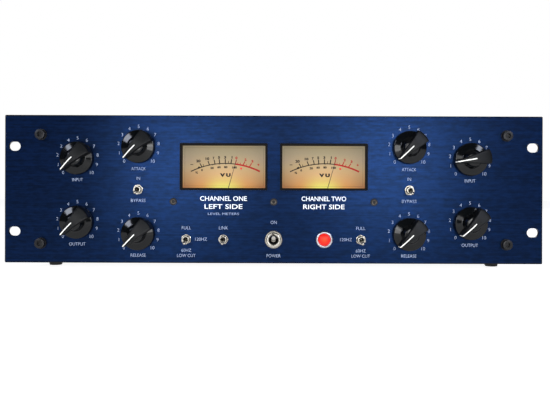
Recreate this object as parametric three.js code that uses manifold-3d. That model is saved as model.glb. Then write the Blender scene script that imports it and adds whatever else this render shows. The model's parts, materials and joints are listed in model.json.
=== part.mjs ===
// Two-channel valve compressor for a 19 inch rack: a 3U blue front panel with eight pointer knobs, six toggle
// switches, two VU meters and a pilot lamp, on a sheet-steel case with its mains and audio parts inside.
// Millimetres, +Z up. The front panel faces -Y, and +X is the user's right. The origin is on the floor under
// the middle of the unit.
import * as THREE from "three";
import { mergeVertices } from "three/addons/utils/BufferGeometryUtils.js";
import Module from "manifold-3d";

const wasm = await Module();
wasm.setup();

// ---------- driving dimensions ----------

// Clearances: seat is the paint film between parts that are screwed together, slip is the play round a part that
// drops into a hole, and running is the play round a part that turns.
const seat = 0.05;
const slip = 0.2;
const running = 0.06;

const panel = { width: 482.6, height: 132.5, thick: 3, chamfer: 0.8, corner: 1 };
const slot = { length: 10.6, height: 8.2, spacingX: 464.8, spacingZ: 76.2 };
const chassis = { width: 434, depth: 240, sheet: 1.5, inset: 2.6 };
const flange = { front: 20, top: 12, rear: 12 };
const cover = { thick: 1.2 };
const vent = { width: 3, length: 40, pitch: 9, count: 8, rowX: 78, y: 116 };
const foot = { drop: 5.2, topRadius: 6.6, floorRadius: 5.8, x: 205.4, front: 30, rear: 28 };

// Knob columns and rows, from the middle of the panel. Heights h are in front of the panel's face.
const outer = { x: 176, upperZ: 27.5, lowerZ: -29.7 };
const inner = { x: 121.3, upperZ: 38, lowerZ: -39.7 };
const knob = {
  gap: 1,
  rimRadius: 14.9,
  edgeRadius: 14.6,
  rimTop: 5.7,
  skirtTop: 7.3,
  bossFoot: 8.3,
  bossRadius: 6.3,
  bossTop: 14.6,
  wingTop: 20.6,
  wingEnd: 16.6,
  tailHalf: 6.7,
  tipHalf: 1.3,
  cavityRadius: 9,
  cavityTop: 4.8,
};
const zeroAngle = -135;
const inputRightTurn = 35;
const pot = { bodyRadius: 12, bodyDepth: 11, bushing: 4.7, bushingTop: 4, shaft: 3, shaftTop: 13 };

const mini = {
  x: 121.5,
  z: -0.3,
  rowZ: -44.7,
  lowcutX: 78.2,
  linkX: -45,
  bodyWidth: 6.9,
  bodyHeight: 12.7,
  bodyDepth: 9.5,
  bushing: 3.1,
  bushingTop: 6.5,
  bore: 2.3,
  boreFloor: -1.5,
  pivot: 4,
  lean: 12.5,
  ball: 2.2,
  neck: 1.05,
  tip: 1.45,
  length: 12.9,
  tail: 4.5,
};
const power = {
  x: 0,
  z: -44.7,
  bodyWidth: 18,
  bodyHeight: 28,
  bodyDepth: 22,
  bushing: 5.95,
  bushingTop: 9,
  bore: 4.5,
  boreFloor: -3,
  pivot: 4.5,
  lean: 12.5,
  ball: 4.38,
  neck: 1.7,
  tip: 2.5,
  length: 15.5,
  tail: 5.5,
};
const lamp = {
  x: 45.3,
  z: -44.7,
  flangeRadius: 7.75,
  flangeTop: 3,
  bodyRadius: 6.3,
  bodyDepth: 24,
  lensRadius: 5.65,
  lensTop: 5.4,
  lensFloor: -0.6,
};

const meter = {
  x: 45,
  z: 20.4,
  width: 78.4,
  height: 41.9,
  frame: 1.9,
  proud: 0.5,
  overlap: 3,
  bodyBottom: -40,
  bodyDepth: 30,
  wall: 1,
  needleGap: 0.8,
  dialGap: 1.3,
  dialThick: 0.6,
  windowDepth: 0.6,
  windowThick: 1.4,
  pivotZ: -33,
  pivotRadius: 1,
  needleThick: 0.4,
  needleLength: 41.5,
  needleRoot: 0.9,
  needleTip: 0.4,
  hubRadius: 3,
  tail: 5,
  reading: 15.7,
};
const bracket = { width: 196, thick: 1.2, above: 4.6, bottom: -17 };

// Rear panel: connector places are from the middle of the panel, and +X is still the front view's right.
const jack = { flangeWidth: 26, flangeHeight: 31, flangeThick: 2, radius: 11.8, depth: 20, z: -8 };
const jackBore = { socket: 9.3, socketDepth: 14, core: 8.1, grooveDepth: 10, pinHole: 1.6, pinCircle: 4.2 };
const jackX = {
  input_jack_left: -178,
  input_jack_right: -142,
  output_jack_left: -78,
  output_jack_right: -42,
};
const inlet = { x: 168, z: -8, flangeWidth: 49, flangeHeight: 28, flangeThick: 3, depth: 22 };
const inletHole = { width: 24.6, height: 16.6, corner: 3, depth: 16, wall: 1.4 };

const toroid = { x: 148, y: 158, radius: 50, hole: 14, height: 46 };
const board = { x: -6, width: 190, y: 64, depth: 140, thick: 1.6, standoff: 8, standoffRadius: 3, inset: 8 };
const tube = { x: [-78, -34, 34, 78], radius: 10.2, height: 48, pinch: 2.5, pinchHeight: 4.5 };
const audioTransformer = { x: -150, y: [92, 158], core: 48, coreDepth: 30, coreHeight: 40, coil: 17, yoke: 6 };

// ---------- colours, roughness and metalness ----------

const blue = { color: 0x1b2f5e, roughness: 0.42, metalness: 0.6 };
const steel = { color: 0x8f9398, roughness: 0.5, metalness: 0.8 };
const blackSheet = { color: 0x1c1d20, roughness: 0.6, metalness: 0.3 };
const phenolic = { color: 0x0d0d0e, roughness: 0.3, metalness: 0 };
const blackPlastic = { color: 0x17171a, roughness: 0.55, metalness: 0 };
const rubber = { color: 0x141414, roughness: 0.9, metalness: 0 };
const nickel = { color: 0xc9c6bf, roughness: 0.25, metalness: 1 };
const plated = { color: 0xb4b2aa, roughness: 0.35, metalness: 0.9 };
const redLens = { color: 0xff2a1c, roughness: 0.2, metalness: 0 };
const cream = { color: 0xe6c27a, roughness: 0.7, metalness: 0 };
const clear = { color: 0xf4f2ea, roughness: 0.08, metalness: 0, transparent: true, opacity: 0.2 };
const green = { color: 0x1f5a35, roughness: 0.5, metalness: 0 };
const tape = { color: 0xd8c046, roughness: 0.55, metalness: 0 };
const iron = { color: 0x6d6f74, roughness: 0.55, metalness: 0.7 };

// ---------- solids ----------

// A three.js geometry as a manifold-3d solid.
function solid(geometry) {
  const bare = geometry.clone();
  bare.deleteAttribute("normal");
  bare.deleteAttribute("uv");
  const merged = mergeVertices(bare, 1e-4);
  return new wasm.Manifold(
    new wasm.Mesh({
      numProp: 3,
      vertProperties: merged.attributes.position.array,
      triVerts: new Uint32Array(merged.index.array),
    }),
  );
}

// A manifold-3d solid back as a three.js geometry.
function shell(body) {
  const made = body.getMesh();
  const geometry = new THREE.BufferGeometry();
  geometry.setAttribute("position", new THREE.BufferAttribute(new Float32Array(made.vertProperties), 3));
  geometry.setIndex(new THREE.BufferAttribute(new Uint32Array(made.triVerts), 1));
  return geometry;
}

// The first geometry with the additions joined to it and the cuts taken out of it.
function worked(base, { add = [], cut = [] }) {
  let body = solid(base);
  for (const piece of add) body = body.add(solid(piece));
  for (const piece of cut) body = body.subtract(solid(piece));
  return shell(body);
}

// A block between two corners.
function block(x0, x1, y0, y1, z0, z1) {
  const geometry = new THREE.BoxGeometry(x1 - x0, y1 - y0, z1 - z0);
  return geometry.translate((x0 + x1) / 2, (y0 + y1) / 2, (z0 + z1) / 2);
}

// A rectangle with round corners, centred on x, z.
function rounded(width, height, radius, x = 0, z = 0) {
  const [w, h, shape] = [width / 2, height / 2, new THREE.Shape()];
  shape.moveTo(x - w + radius, z - h);
  shape.lineTo(x + w - radius, z - h);
  shape.absarc(x + w - radius, z - h + radius, radius, -Math.PI / 2, 0);
  shape.lineTo(x + w, z + h - radius);
  shape.absarc(x + w - radius, z + h - radius, radius, 0, Math.PI / 2);
  shape.lineTo(x - w + radius, z + h);
  shape.absarc(x - w + radius, z + h - radius, radius, Math.PI / 2, Math.PI);
  shape.lineTo(x - w, z - h + radius);
  shape.absarc(x - w + radius, z - h + radius, radius, Math.PI, Math.PI * 1.5);
  return shape;
}

// An outline drawn in x and z, carried from y0 back to y1.
function slab(shape, y0, y1, curveSegments = 4) {
  const geometry = new THREE.ExtrudeGeometry(shape, { depth: y1 - y0, bevelEnabled: false, curveSegments });
  return geometry.rotateX(Math.PI / 2).translate(0, y1, 0);
}

// A profile of [radius, y] points turned about a line along Y. It starts and ends on the line.
function turned(profile, segments, x = 0, z = 0) {
  const points = profile.map(([radius, y]) => new THREE.Vector2(radius, y));
  const area = THREE.ShapeUtils.area(points);
  if (area < 0) points.reverse();
  return new THREE.LatheGeometry(points, segments).translate(x, 0, z);
}

// A round hole or rod along Y.
function rod(radius, y0, y1, x, z, segments = 20) {
  return turned([[0, y0], [radius, y0], [radius, y1], [0, y1]], segments, x, z);
}

// A round hole in which a rod of the given radius turns: its flats, not its corners, clear the rod.
function bearing(radius, y0, y1, x, z, segments = 16) {
  return rod((radius + running) / Math.cos(Math.PI / segments), y0, y1, x, z, segments);
}

// The same profile of [radius, z] turned about a vertical line.
function standing(profile, segments, x, y) {
  return turned(profile, segments).rotateX(Math.PI / 2).translate(x, y, 0);
}

// ---------- the unit: origin at the middle of the front panel's face ----------

const sides = { left: -1, right: 1 };
const panelBack = panel.thick + seat;
const caseBack = panelBack + chassis.depth;
const floorZ = -panel.height / 2 + chassis.inset;
const roofZ = panel.height / 2 - chassis.inset;
const baseTop = floorZ + chassis.sheet;
const sideTop = roofZ - cover.thick - seat;
const halfWidth = chassis.width / 2;
const rearFace = caseBack + seat + chassis.sheet;
const frontReach = knob.wingTop;
const rearReach = rearFace + seat + inlet.flangeThick;

const unit = new THREE.Group();
unit.position.set(0, (frontReach - rearReach) / 2, foot.drop + panel.height / 2);

function place(name, geometry, finish, holder = unit) {
  const mesh = new THREE.Mesh(geometry, new THREE.MeshStandardMaterial(finish));
  mesh.name = name;
  holder.add(mesh);
  return mesh;
}

// ---------- where the controls are ----------

const knobs = [];
for (const [side, sign] of Object.entries(sides)) {
  knobs.push({ name: "input", side, x: sign * outer.x, z: outer.upperZ });
  knobs.push({ name: "output", side, x: sign * outer.x, z: outer.lowerZ });
  knobs.push({ name: "attack", side, x: sign * inner.x, z: inner.upperZ });
  knobs.push({ name: "release", side, x: sign * inner.x, z: inner.lowerZ });
}
const toggles = [{ name: "link", x: mini.linkX, z: mini.rowZ }];
for (const [side, sign] of Object.entries(sides)) {
  toggles.push({ name: `bypass_${side}`, x: sign * mini.x, z: mini.z });
  toggles.push({ name: `lowcut_${side}`, x: sign * mini.lowcutX, z: mini.rowZ });
}

// ---------- front panel: one plate with every opening cut through it ----------

function frontPanel() {
  const outline = rounded(panel.width, panel.height, panel.corner);
  const plate = new THREE.ExtrudeGeometry(outline, {
    depth: panel.thick - panel.chamfer,
    bevelThickness: panel.chamfer,
    bevelSize: panel.chamfer,
    bevelOffset: -panel.chamfer,
    bevelSegments: 1,
    curveSegments: 2,
  });
  plate.rotateX(Math.PI / 2).translate(0, panel.thick, 0);
  const [w, h, through] = [panel.width, panel.height, [-1, panel.thick + 1]];
  const cut = [block(-w, w, panel.thick, panel.thick + w, -h, h)];
  for (const x of [-slot.spacingX / 2, slot.spacingX / 2])
    for (const z of [-slot.spacingZ / 2, slot.spacingZ / 2])
      cut.push(slab(rounded(slot.length, slot.height, slot.height / 2, x, z), ...through, 6));
  for (const { x, z } of knobs) cut.push(rod(pot.bushing + slip, ...through, x, z, 16));
  for (const { x, z } of toggles) cut.push(rod(mini.bushing + slip, ...through, x, z, 16));
  cut.push(rod(power.bushing + slip, ...through, power.x, power.z));
  cut.push(rod(lamp.bodyRadius + slip, ...through, lamp.x, lamp.z));
  for (const sign of Object.values(sides)) {
    const window = rounded(meter.width + 2 * slip, meter.height + 2 * slip, 0.6, sign * meter.x, meter.z);
    cut.push(slab(window, ...through, 1));
  }
  return worked(plate, { cut });
}
place("front_panel", frontPanel(), blue);

// ---------- case: folded tray, rear panel, vented cover, four feet ----------

function tray() {
  const [front, sheet] = [panelBack, chassis.sheet];
  const base = block(-halfWidth, halfWidth, front, caseBack, floorZ, baseTop);
  const add = [];
  for (const sign of Object.values(sides)) {
    const span = (near, far) => [sign * (halfWidth - near), sign * (halfWidth - far)].sort((a, b) => a - b);
    add.push(block(...span(0, sheet), front, caseBack, floorZ, sideTop));
    add.push(block(...span(0, flange.front), front, front + sheet, floorZ, sideTop));
    add.push(block(...span(0, flange.rear), caseBack - sheet, caseBack, floorZ, sideTop));
    add.push(block(...span(0, flange.top), front, caseBack, sideTop - sheet, sideTop));
  }
  for (const x of [-1, 1])
    for (const y of [board.inset, board.depth - board.inset]) {
      const [radius, top] = [board.standoffRadius, baseTop + board.standoff];
      const post = [[0, floorZ], [radius, floorZ], [radius, top], [0, top]];
      const postX = board.x + x * (board.width / 2 - board.inset);
      add.push(standing(post, 10, postX, panelBack + board.y + y));
    }
  return worked(base, { add });
}
place("chassis_tray", tray(), blackSheet);

function rearPanel() {
  const plate = block(-halfWidth, halfWidth, caseBack + seat, rearFace, floorZ, roofZ);
  const cut = Object.values(jackX).map((x) => rod(jack.radius + slip, caseBack, rearFace + 1, x, jack.z));
  const hole = inletHole.wall + slip;
  const outline = [inletHole.width + 2 * hole, inletHole.height + 2 * hole, inletHole.corner + hole];
  cut.push(slab(rounded(...outline, inlet.x, inlet.z), caseBack, rearFace + 1));
  return worked(plate, { cut });
}
place("rear_panel", rearPanel(), blackSheet);

function topCover() {
  const plate = block(-halfWidth, halfWidth, panelBack, caseBack, roofZ - cover.thick, roofZ);
  const cut = [];
  for (const sign of Object.values(sides))
    for (let i = 0; i < vent.count; i += 1) {
      const x = sign * vent.rowX + (i - (vent.count - 1) / 2) * vent.pitch;
      const opening = rounded(vent.width, vent.length, vent.width / 2, x, 0);
      const punch = new THREE.ExtrudeGeometry(opening, { depth: 4, bevelEnabled: false, curveSegments: 2 });
      cut.push(punch.translate(0, panelBack + vent.y, roofZ - cover.thick - 1));
    }
  return worked(plate, { cut });
}
place("top_cover", topCover(), blackSheet);

const footTop = floorZ - seat;
const footBottom = -panel.height / 2 - foot.drop;
for (const [side, sign] of Object.entries(sides))
  for (const [end, y] of [["front", panelBack + foot.front], ["rear", caseBack - foot.rear]]) {
    const profile = [[0, footBottom], [foot.floorRadius, footBottom], [foot.topRadius, footTop], [0, footTop]];
    place(`foot_${end}_${side}`, standing(profile, 20, sign * foot.x, y), rubber);
  }

// ---------- pots and knobs ----------

function potGeometry() {
  const bushingTop = -pot.bushingTop;
  return turned(
    [
      [0, -pot.shaftTop],
      [pot.shaft, -pot.shaftTop],
      [pot.shaft, bushingTop],
      [pot.bushing, bushingTop],
      [pot.bushing, panelBack],
      [pot.bodyRadius, panelBack],
      [pot.bodyRadius, panelBack + pot.bodyDepth],
      [0, panelBack + pot.bodyDepth],
    ],
    16,
  );
}

// Skirt, boss and wedge-shaped wing in one moulding. The pointer tip is up, and the shaft's hole is blind.
function knobGeometry() {
  const skirt = turned(
    [
      [0, -knob.gap],
      [knob.rimRadius, -knob.gap],
      [knob.edgeRadius, -knob.rimTop],
      [knob.bossFoot, -knob.skirtTop],
      [knob.bossRadius, -knob.bossTop],
      [0, -knob.bossTop],
    ],
    28,
  );
  const [long, wide] = [knob.edgeRadius, knob.tailHalf];
  const wedge = new THREE.Shape();
  wedge.moveTo(-wide, -long);
  wedge.lineTo(wide, -long);
  wedge.lineTo(knob.tipHalf, long);
  wedge.lineTo(-knob.tipHalf, long);
  const arch = new THREE.Shape();
  arch.moveTo(-long, knob.rimTop - 0.5);
  arch.lineTo(long, knob.rimTop - 0.5);
  arch.lineTo(long, knob.wingEnd);
  arch.quadraticCurveTo(0, 2 * knob.wingTop - knob.wingEnd, -long, knob.wingEnd);
  // The arch is drawn along the pointer and in height, and carried across the knob.
  const crown = new THREE.ExtrudeGeometry(arch, { depth: 2 * wide, bevelEnabled: false, curveSegments: 8 });
  const [up, forward, across] = [[0, 0, 1], [0, -1, 0], [1, 0, 0]].map((v) => new THREE.Vector3(...v));
  crown.applyMatrix4(new THREE.Matrix4().makeBasis(up, forward, across)).translate(-wide, 0, 0);
  const [wingFront, wingBack] = [-knob.wingTop - 1, -knob.rimTop + 1];
  const wing = solid(slab(wedge, wingFront, wingBack))
    .intersect(solid(rod(knob.edgeRadius, wingFront, wingBack, 0, 0, 28)))
    .intersect(solid(crown));
  const hollow = rod(knob.cavityRadius, -knob.cavityTop, 0, 0, 0, 24);
  const hole = bearing(pot.shaft, -pot.shaftTop - slip, 0, 0, 0);
  return shell(solid(skirt).add(wing).subtract(solid(hollow)).subtract(solid(hole)));
}

for (const { name, side, x, z } of knobs) {
  place(`${name}_pot_${side}`, potGeometry(), plated).position.set(x, 0, z);
  const turn = name === "input" && side === "right" ? inputRightTurn : 0;
  const dial = place(`${name}_knob_${side}`, knobGeometry(), phenolic);
  dial.position.set(x, 0, z);
  dial.rotation.y = THREE.MathUtils.degToRad(zeroAngle + turn);
}

// ---------- toggle switches: a body with a blind bore, and a bat lever rocking on its ball ----------

function switchGeometry(size) {
  const body = block(
    -size.bodyWidth / 2,
    size.bodyWidth / 2,
    panelBack,
    panelBack + size.bodyDepth,
    -size.bodyHeight / 2,
    size.bodyHeight / 2,
  );
  const bushing = rod(size.bushing, -size.bushingTop, panelBack + 1, 0, 0);
  const bore = rod(size.bore, -size.bushingTop - 1, -size.boreFloor, 0, 0, 16);
  return worked(body, { add: [bushing], cut: [bore] });
}

// The lever's own line is along Y, with its ball at the origin and its tip towards -Y.
function leverGeometry(size) {
  const { ball, neck, tip, length, tail } = size;
  const root = neck * 0.9;
  const ballHalf = Math.sqrt(ball * ball - neck * neck);
  const profile = [[0, tail], [root, tail], [neck, ballHalf]];
  for (const angle of [-45, -15, 15, 45]) {
    const turn = THREE.MathUtils.degToRad(angle);
    profile.push([ball * Math.cos(turn), -ball * Math.sin(turn)]);
  }
  profile.push([neck, -ballHalf], [tip, -length + 1.2 * tip], [tip * 0.9, -length + 0.5 * tip]);
  profile.push([tip * 0.5, -length + 0.1 * tip], [0, -length]);
  return turned(profile, 10);
}

function toggleSwitch(bodyName, leverName, size, x, z, lean) {
  place(bodyName, switchGeometry(size), nickel).position.set(x, 0, z);
  const lever = place(leverName, leverGeometry(size), nickel);
  lever.position.set(x, -size.pivot, z);
  lever.rotation.x = THREE.MathUtils.degToRad(lean);
}
for (const { name, x, z } of toggles) toggleSwitch(`${name}_switch`, `${name}_lever`, mini, x, z, mini.lean);
toggleSwitch("power_switch", "power_lever", power, power.x, power.z, -power.lean);

// ---------- pilot lamp ----------

function lampBezel() {
  const { flangeRadius, flangeTop, bodyRadius, bodyDepth, lensRadius, lensFloor } = lamp;
  const well = lensRadius + running;
  return turned(
    [
      [0, -lensFloor + seat],
      [well, -lensFloor + seat],
      [well, -flangeTop],
      [flangeRadius - 0.8, -flangeTop],
      [flangeRadius, -flangeTop + 1.2],
      [flangeRadius, -seat],
      [bodyRadius, -seat],
      [bodyRadius, bodyDepth],
      [0, bodyDepth],
    ],
    24,
    lamp.x,
    lamp.z,
  );
}
function lampLens() {
  const { flangeTop, lensRadius, lensTop, lensFloor } = lamp;
  const profile = [[0, -lensFloor], [lensRadius, -lensFloor], [lensRadius, -flangeTop]];
  for (const share of [0.35, 0.7]) {
    const turn = (share * Math.PI) / 2;
    profile.push([lensRadius * Math.cos(turn), -flangeTop - (lensTop - flangeTop) * Math.sin(turn)]);
  }
  profile.push([0, -lensTop]);
  return turned(profile, 24, lamp.x, lamp.z);
}
place("lamp_bezel", lampBezel(), nickel);
place("lamp_lens", lampLens(), redLens);

// ---------- meters: bracket, open-fronted case, dial, needle on its pivot post, clear window ----------

const meterBack = panelBack + bracket.thick + seat;
const collar = [meter.width, meter.height];
const bodyHalf = meter.width / 2 + meter.overlap;
const bodyTop = meter.height / 2 + meter.overlap;
const needleDepth = meterBack + meter.wall + meter.needleGap;
const dialDepth = needleDepth + meter.dialGap;

function bracketGeometry() {
  const [half, back] = [bracket.width / 2, panelBack + bracket.thick];
  const top = meter.z + meter.height / 2 + bracket.above;
  const plate = block(-half, half, panelBack, back, bracket.bottom, top);
  const cut = Object.values(sides).map((sign) =>
    slab(rounded(collar[0] + 2 * slip, collar[1] + 2 * slip, 0.6, sign * meter.x, meter.z), 0, back + 1, 1),
  );
  return worked(plate, { cut });
}
place("meter_bracket", bracketGeometry(), steel);

function meterCase() {
  const { frame, bodyBottom, bodyDepth, wall } = meter;
  const mouth = [meter.width - 2 * frame, meter.height - 2 * frame];
  const body = block(-bodyHalf, bodyHalf, meterBack, bodyDepth, bodyBottom, bodyTop);
  const nose = slab(rounded(...collar, 0.5), -meter.proud, meterBack + wall / 2, 1);
  const cavity = block(
    wall - bodyHalf,
    bodyHalf - wall,
    meterBack + wall,
    bodyDepth - wall,
    bodyBottom + wall,
    bodyTop - wall,
  );
  const post = rod(meter.pivotRadius, needleDepth - seat, bodyDepth - wall / 2, 0, meter.pivotZ, 10);
  const way = slab(rounded(...mouth, 0.4), -meter.proud - 1, meterBack + wall + 1, 1);
  const hollow = worked(body, { add: [nose], cut: [cavity, way] });
  return worked(hollow, { add: [post] });
}

function meterDial() {
  const { bodyBottom, wall, dialThick, pivotRadius, pivotZ } = meter;
  const half = bodyHalf - wall - slip;
  const [low, high] = [bodyBottom + wall + slip, bodyTop - wall - slip];
  const plate = block(-half, half, dialDepth, dialDepth + dialThick, low, high);
  return worked(plate, { cut: [bearing(pivotRadius, 0, dialDepth + 5, 0, pivotZ, 10)] });
}

// Blade, hub and balance tail. Its own origin is the pivot, and the blade points up.
function needleGeometry() {
  const { needleLength, needleRoot, needleTip, needleThick, hubRadius, tail } = meter;
  const blade = new THREE.Shape();
  blade.moveTo(-needleRoot, -tail);
  blade.lineTo(needleRoot, -tail);
  blade.lineTo(needleTip / 2, needleLength);
  blade.lineTo(-needleTip / 2, needleLength);
  const hub = rod(hubRadius, needleDepth - seat, dialDepth - slip, 0, 0, 16);
  const bore = bearing(meter.pivotRadius, 0, dialDepth, 0, 0, 10);
  return worked(slab(blade, needleDepth, needleDepth + needleThick), { add: [hub], cut: [bore] });
}

function meterWindow() {
  const { width, height, frame, windowDepth, windowThick } = meter;
  const size = [width - 2 * frame - 2 * slip, height - 2 * frame - 2 * slip];
  return slab(rounded(...size, 0.3), windowDepth, windowDepth + windowThick, 1);
}

for (const [side, sign] of Object.entries(sides)) {
  const stack = new THREE.Group();
  stack.position.set(sign * meter.x, 0, meter.z);
  unit.add(stack);
  place(`meter_case_${side}`, meterCase(), blackPlastic, stack);
  place(`meter_dial_${side}`, meterDial(), cream, stack);
  place(`meter_window_${side}`, meterWindow(), clear, stack);
  const needle = place(`meter_needle_${side}`, needleGeometry(), blackPlastic, stack);
  needle.position.z = meter.pivotZ;
  needle.rotation.y = THREE.MathUtils.degToRad(meter.reading);
}

// ---------- rear connectors ----------

const jackFace = rearFace + seat + jack.flangeThick;

// Both kinds share the flange and barrel. A socket has three pin holes in a core, and a plug is an open cup.
function jackGeometry(isSocket) {
  const { flangeWidth, flangeHeight, radius, depth } = jack;
  const { socket, socketDepth, core, grooveDepth, pinHole, pinCircle } = jackBore;
  const plate = slab(rounded(flangeWidth, flangeHeight, 3), rearFace + seat, jackFace);
  const add = [rod(radius, rearFace - depth, rearFace + seat + 1, 0, 0, 24)];
  const above = jackFace + 1;
  if (!isSocket) return worked(plate, { add, cut: [rod(socket, jackFace - socketDepth, above, 0, 0, 24)] });
  const floor = jackFace - grooveDepth;
  const ring = turned([[core, floor], [socket, floor], [socket, above], [core, above], [core, floor]], 24);
  const cut = [ring];
  for (const angle of [90, 210, 330]) {
    const turn = THREE.MathUtils.degToRad(angle);
    cut.push(rod(pinHole, floor, jackFace + 1, pinCircle * Math.cos(turn), pinCircle * Math.sin(turn), 10));
  }
  return worked(plate, { add, cut });
}
for (const [name, x] of Object.entries(jackX))
  place(name, jackGeometry(name.startsWith("input")), plated).position.set(x, 0, jack.z);

function inletGeometry() {
  const { flangeWidth, flangeHeight, flangeThick, depth } = inlet;
  const face = rearFace + seat + flangeThick;
  const { width, height, corner, wall } = inletHole;
  const plate = slab(rounded(flangeWidth, flangeHeight, 4), rearFace + seat, face);
  const bodyShape = rounded(width + 2 * wall, height + 2 * wall, corner + wall);
  const body = slab(bodyShape, rearFace - depth, rearFace + seat + 1);
  const recess = slab(rounded(width, height, corner), face - inletHole.depth, face + 1);
  return worked(plate, { add: [body], cut: [recess] });
}
place("mains_inlet", inletGeometry(), blackPlastic).position.set(inlet.x, 0, inlet.z);

// ---------- inside: toroidal mains transformer, board with four valves, two output transformers ----------

function toroidGeometry() {
  const { radius, hole, height, x, y } = toroid;
  const [low, high, round] = [baseTop + seat, baseTop + seat + height, 8];
  const profile = [
    [hole, low + round / 2],
    [hole + round / 2, low],
    [radius - round, low],
    [radius, low + round],
    [radius, high - round],
    [radius - round, high],
    [hole + round / 2, high],
    [hole, high - round / 2],
    [hole, low + round / 2],
  ];
  return standing(profile, 28, x, panelBack + y);
}
place("mains_transformer", toroidGeometry(), tape);

const boardFloor = baseTop + board.standoff + seat;
const boardTop = boardFloor + board.thick;
const [boardLeft, boardRight] = [board.x - board.width / 2, board.x + board.width / 2];
const [boardNear, boardFar] = [panelBack + board.y, panelBack + board.y + board.depth];
place("main_board", block(boardLeft, boardRight, boardNear, boardFar, boardFloor, boardTop), green);

// A glass envelope closed by its pinched tip.
function tubeGeometry(x) {
  const [low, { radius, height, pinch, pinchHeight }] = [boardTop + seat, tube];
  const profile = [
    [0, low],
    [radius, low],
    [radius, low + height - 6],
    [radius * 0.8, low + height - 2],
    [pinch, low + height],
    [pinch / 2, low + height + pinchHeight],
    [0, low + height + pinchHeight],
  ];
  return standing(profile, 14, board.x + x, (boardNear + boardFar) / 2);
}
tube.x.forEach((x, i) => place(`tube_${i + 1}`, tubeGeometry(x), { ...clear, opacity: 0.5 }));

// A stack of laminations with the coil's two cheeks standing out of it.
function audioTransformerGeometry(x, y) {
  const { core, coreDepth, coreHeight, coil, yoke } = audioTransformer;
  const [low, middle, half] = [baseTop + seat, panelBack + y, coreDepth / 2];
  const top = low + coreHeight;
  const stack = block(x - core / 2, x + core / 2, middle - half, middle + half, low, top);
  const winding = block(x - coil, x + coil, middle - 2 * half, middle + 2 * half, low + yoke, top - yoke);
  return worked(stack, { add: [winding] });
}
Object.keys(sides).forEach((side, i) => {
  const { x, y } = audioTransformer;
  place(`output_transformer_${side}`, audioTransformerGeometry(x, y[i]), iron);
});

export default unit;
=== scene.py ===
# A two-channel valve compressor for a 19 inch rack, as it is put together: panel, printing, knobs,
# switches, lamp, meters, case, rear connectors and inside. Metres, front panel towards -Y, +Z up. Heights h
# stand out of the face that a piece is mounted on.
import json
import bmesh
import bpy
import numpy as np
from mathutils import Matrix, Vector


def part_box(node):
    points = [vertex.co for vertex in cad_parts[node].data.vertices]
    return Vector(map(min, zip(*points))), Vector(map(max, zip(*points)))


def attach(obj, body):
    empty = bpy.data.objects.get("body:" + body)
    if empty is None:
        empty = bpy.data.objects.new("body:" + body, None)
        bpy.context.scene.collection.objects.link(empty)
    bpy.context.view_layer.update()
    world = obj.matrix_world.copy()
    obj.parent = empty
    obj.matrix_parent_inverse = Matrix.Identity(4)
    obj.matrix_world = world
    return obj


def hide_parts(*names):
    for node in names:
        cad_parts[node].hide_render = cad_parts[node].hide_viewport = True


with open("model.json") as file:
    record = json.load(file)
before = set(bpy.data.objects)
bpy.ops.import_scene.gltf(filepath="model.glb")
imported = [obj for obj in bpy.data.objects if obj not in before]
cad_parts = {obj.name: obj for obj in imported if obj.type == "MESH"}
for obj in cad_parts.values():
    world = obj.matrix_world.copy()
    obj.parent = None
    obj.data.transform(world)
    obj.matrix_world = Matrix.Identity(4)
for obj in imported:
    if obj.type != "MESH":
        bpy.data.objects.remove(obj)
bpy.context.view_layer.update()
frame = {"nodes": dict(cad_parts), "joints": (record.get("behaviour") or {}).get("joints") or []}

nodes = frame["nodes"]
MM = 0.001

# ---------- the front panel's own places ----------
# All pieces on the front are set out from the plate's front face and its middle.
panel_low, panel_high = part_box("front_panel")
panel_face = panel_low.y
panel_middle = Vector(((panel_low.x + panel_high.x) / 2, panel_face, (panel_low.z + panel_high.z) / 2))

# ---------- camera ----------
# Level with the middle of the panel and square to it. The small shift sets the unit a little above the
# middle of the picture.
VIEW_DISTANCE = 0.620
camera_data = bpy.data.cameras.new("camera")
camera_data.lens = 45.26
camera_data.sensor_width = 36
camera_data.shift_x = 0.0023
camera_data.shift_y = -0.0190
camera_data.clip_end = 20
camera = bpy.data.objects.new("camera", camera_data)
camera.location = panel_middle - Vector((0, VIEW_DISTANCE, 0))
camera.rotation_euler = (np.pi / 2, np.radians(-0.2), 0)
bpy.context.scene.collection.objects.link(camera)
bpy.context.scene.camera = camera
bpy.context.scene.view_settings.view_transform = "Standard"


# ---------- floor, backdrop colour and studio lights ----------
# A pale matt floor. Two softboxes stand by the camera with a wide one between them, and two larger ones to
# the sides. One hangs over the unit and one stands behind it.
def linear(code):
    """An sRGB hex colour as linear red, green, blue and alpha."""
    srgb = np.array([int(code[i : i + 2], 16) for i in (1, 3, 5)]) / 255
    values = np.where(srgb <= 0.04045, srgb / 12.92, ((srgb + 0.055) / 1.055) ** 2.4)
    return (*values.tolist(), 1.0)


def add(tree, kind, inputs=None, **settings):
    """Adds a node, gives it its settings, and fills its inputs with values or with links from sockets."""
    made = tree.nodes.new(kind)
    for name, value in settings.items():
        setattr(made, name, value)
    for name, value in (inputs or {}).items():
        if isinstance(value, bpy.types.NodeSocket):
            tree.links.new(value, made.inputs[name])
        else:
            made.inputs[name].default_value = value
    return made


def finish_of(name, colour=None, **inputs):
    """A material with one Principled shader and the given inputs, where a hex code stands for a colour.
    Returns it with its tree and shader."""
    material = bpy.data.materials.new(name)
    material.use_nodes = True
    shader = material.node_tree.nodes["Principled BSDF"]
    if colour:
        inputs["Base_Color"] = colour
    for key, value in inputs.items():
        value = linear(value) if isinstance(value, str) else value
        shader.inputs[key.replace("_", " ")].default_value = value
    return material, material.node_tree, shader


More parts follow.
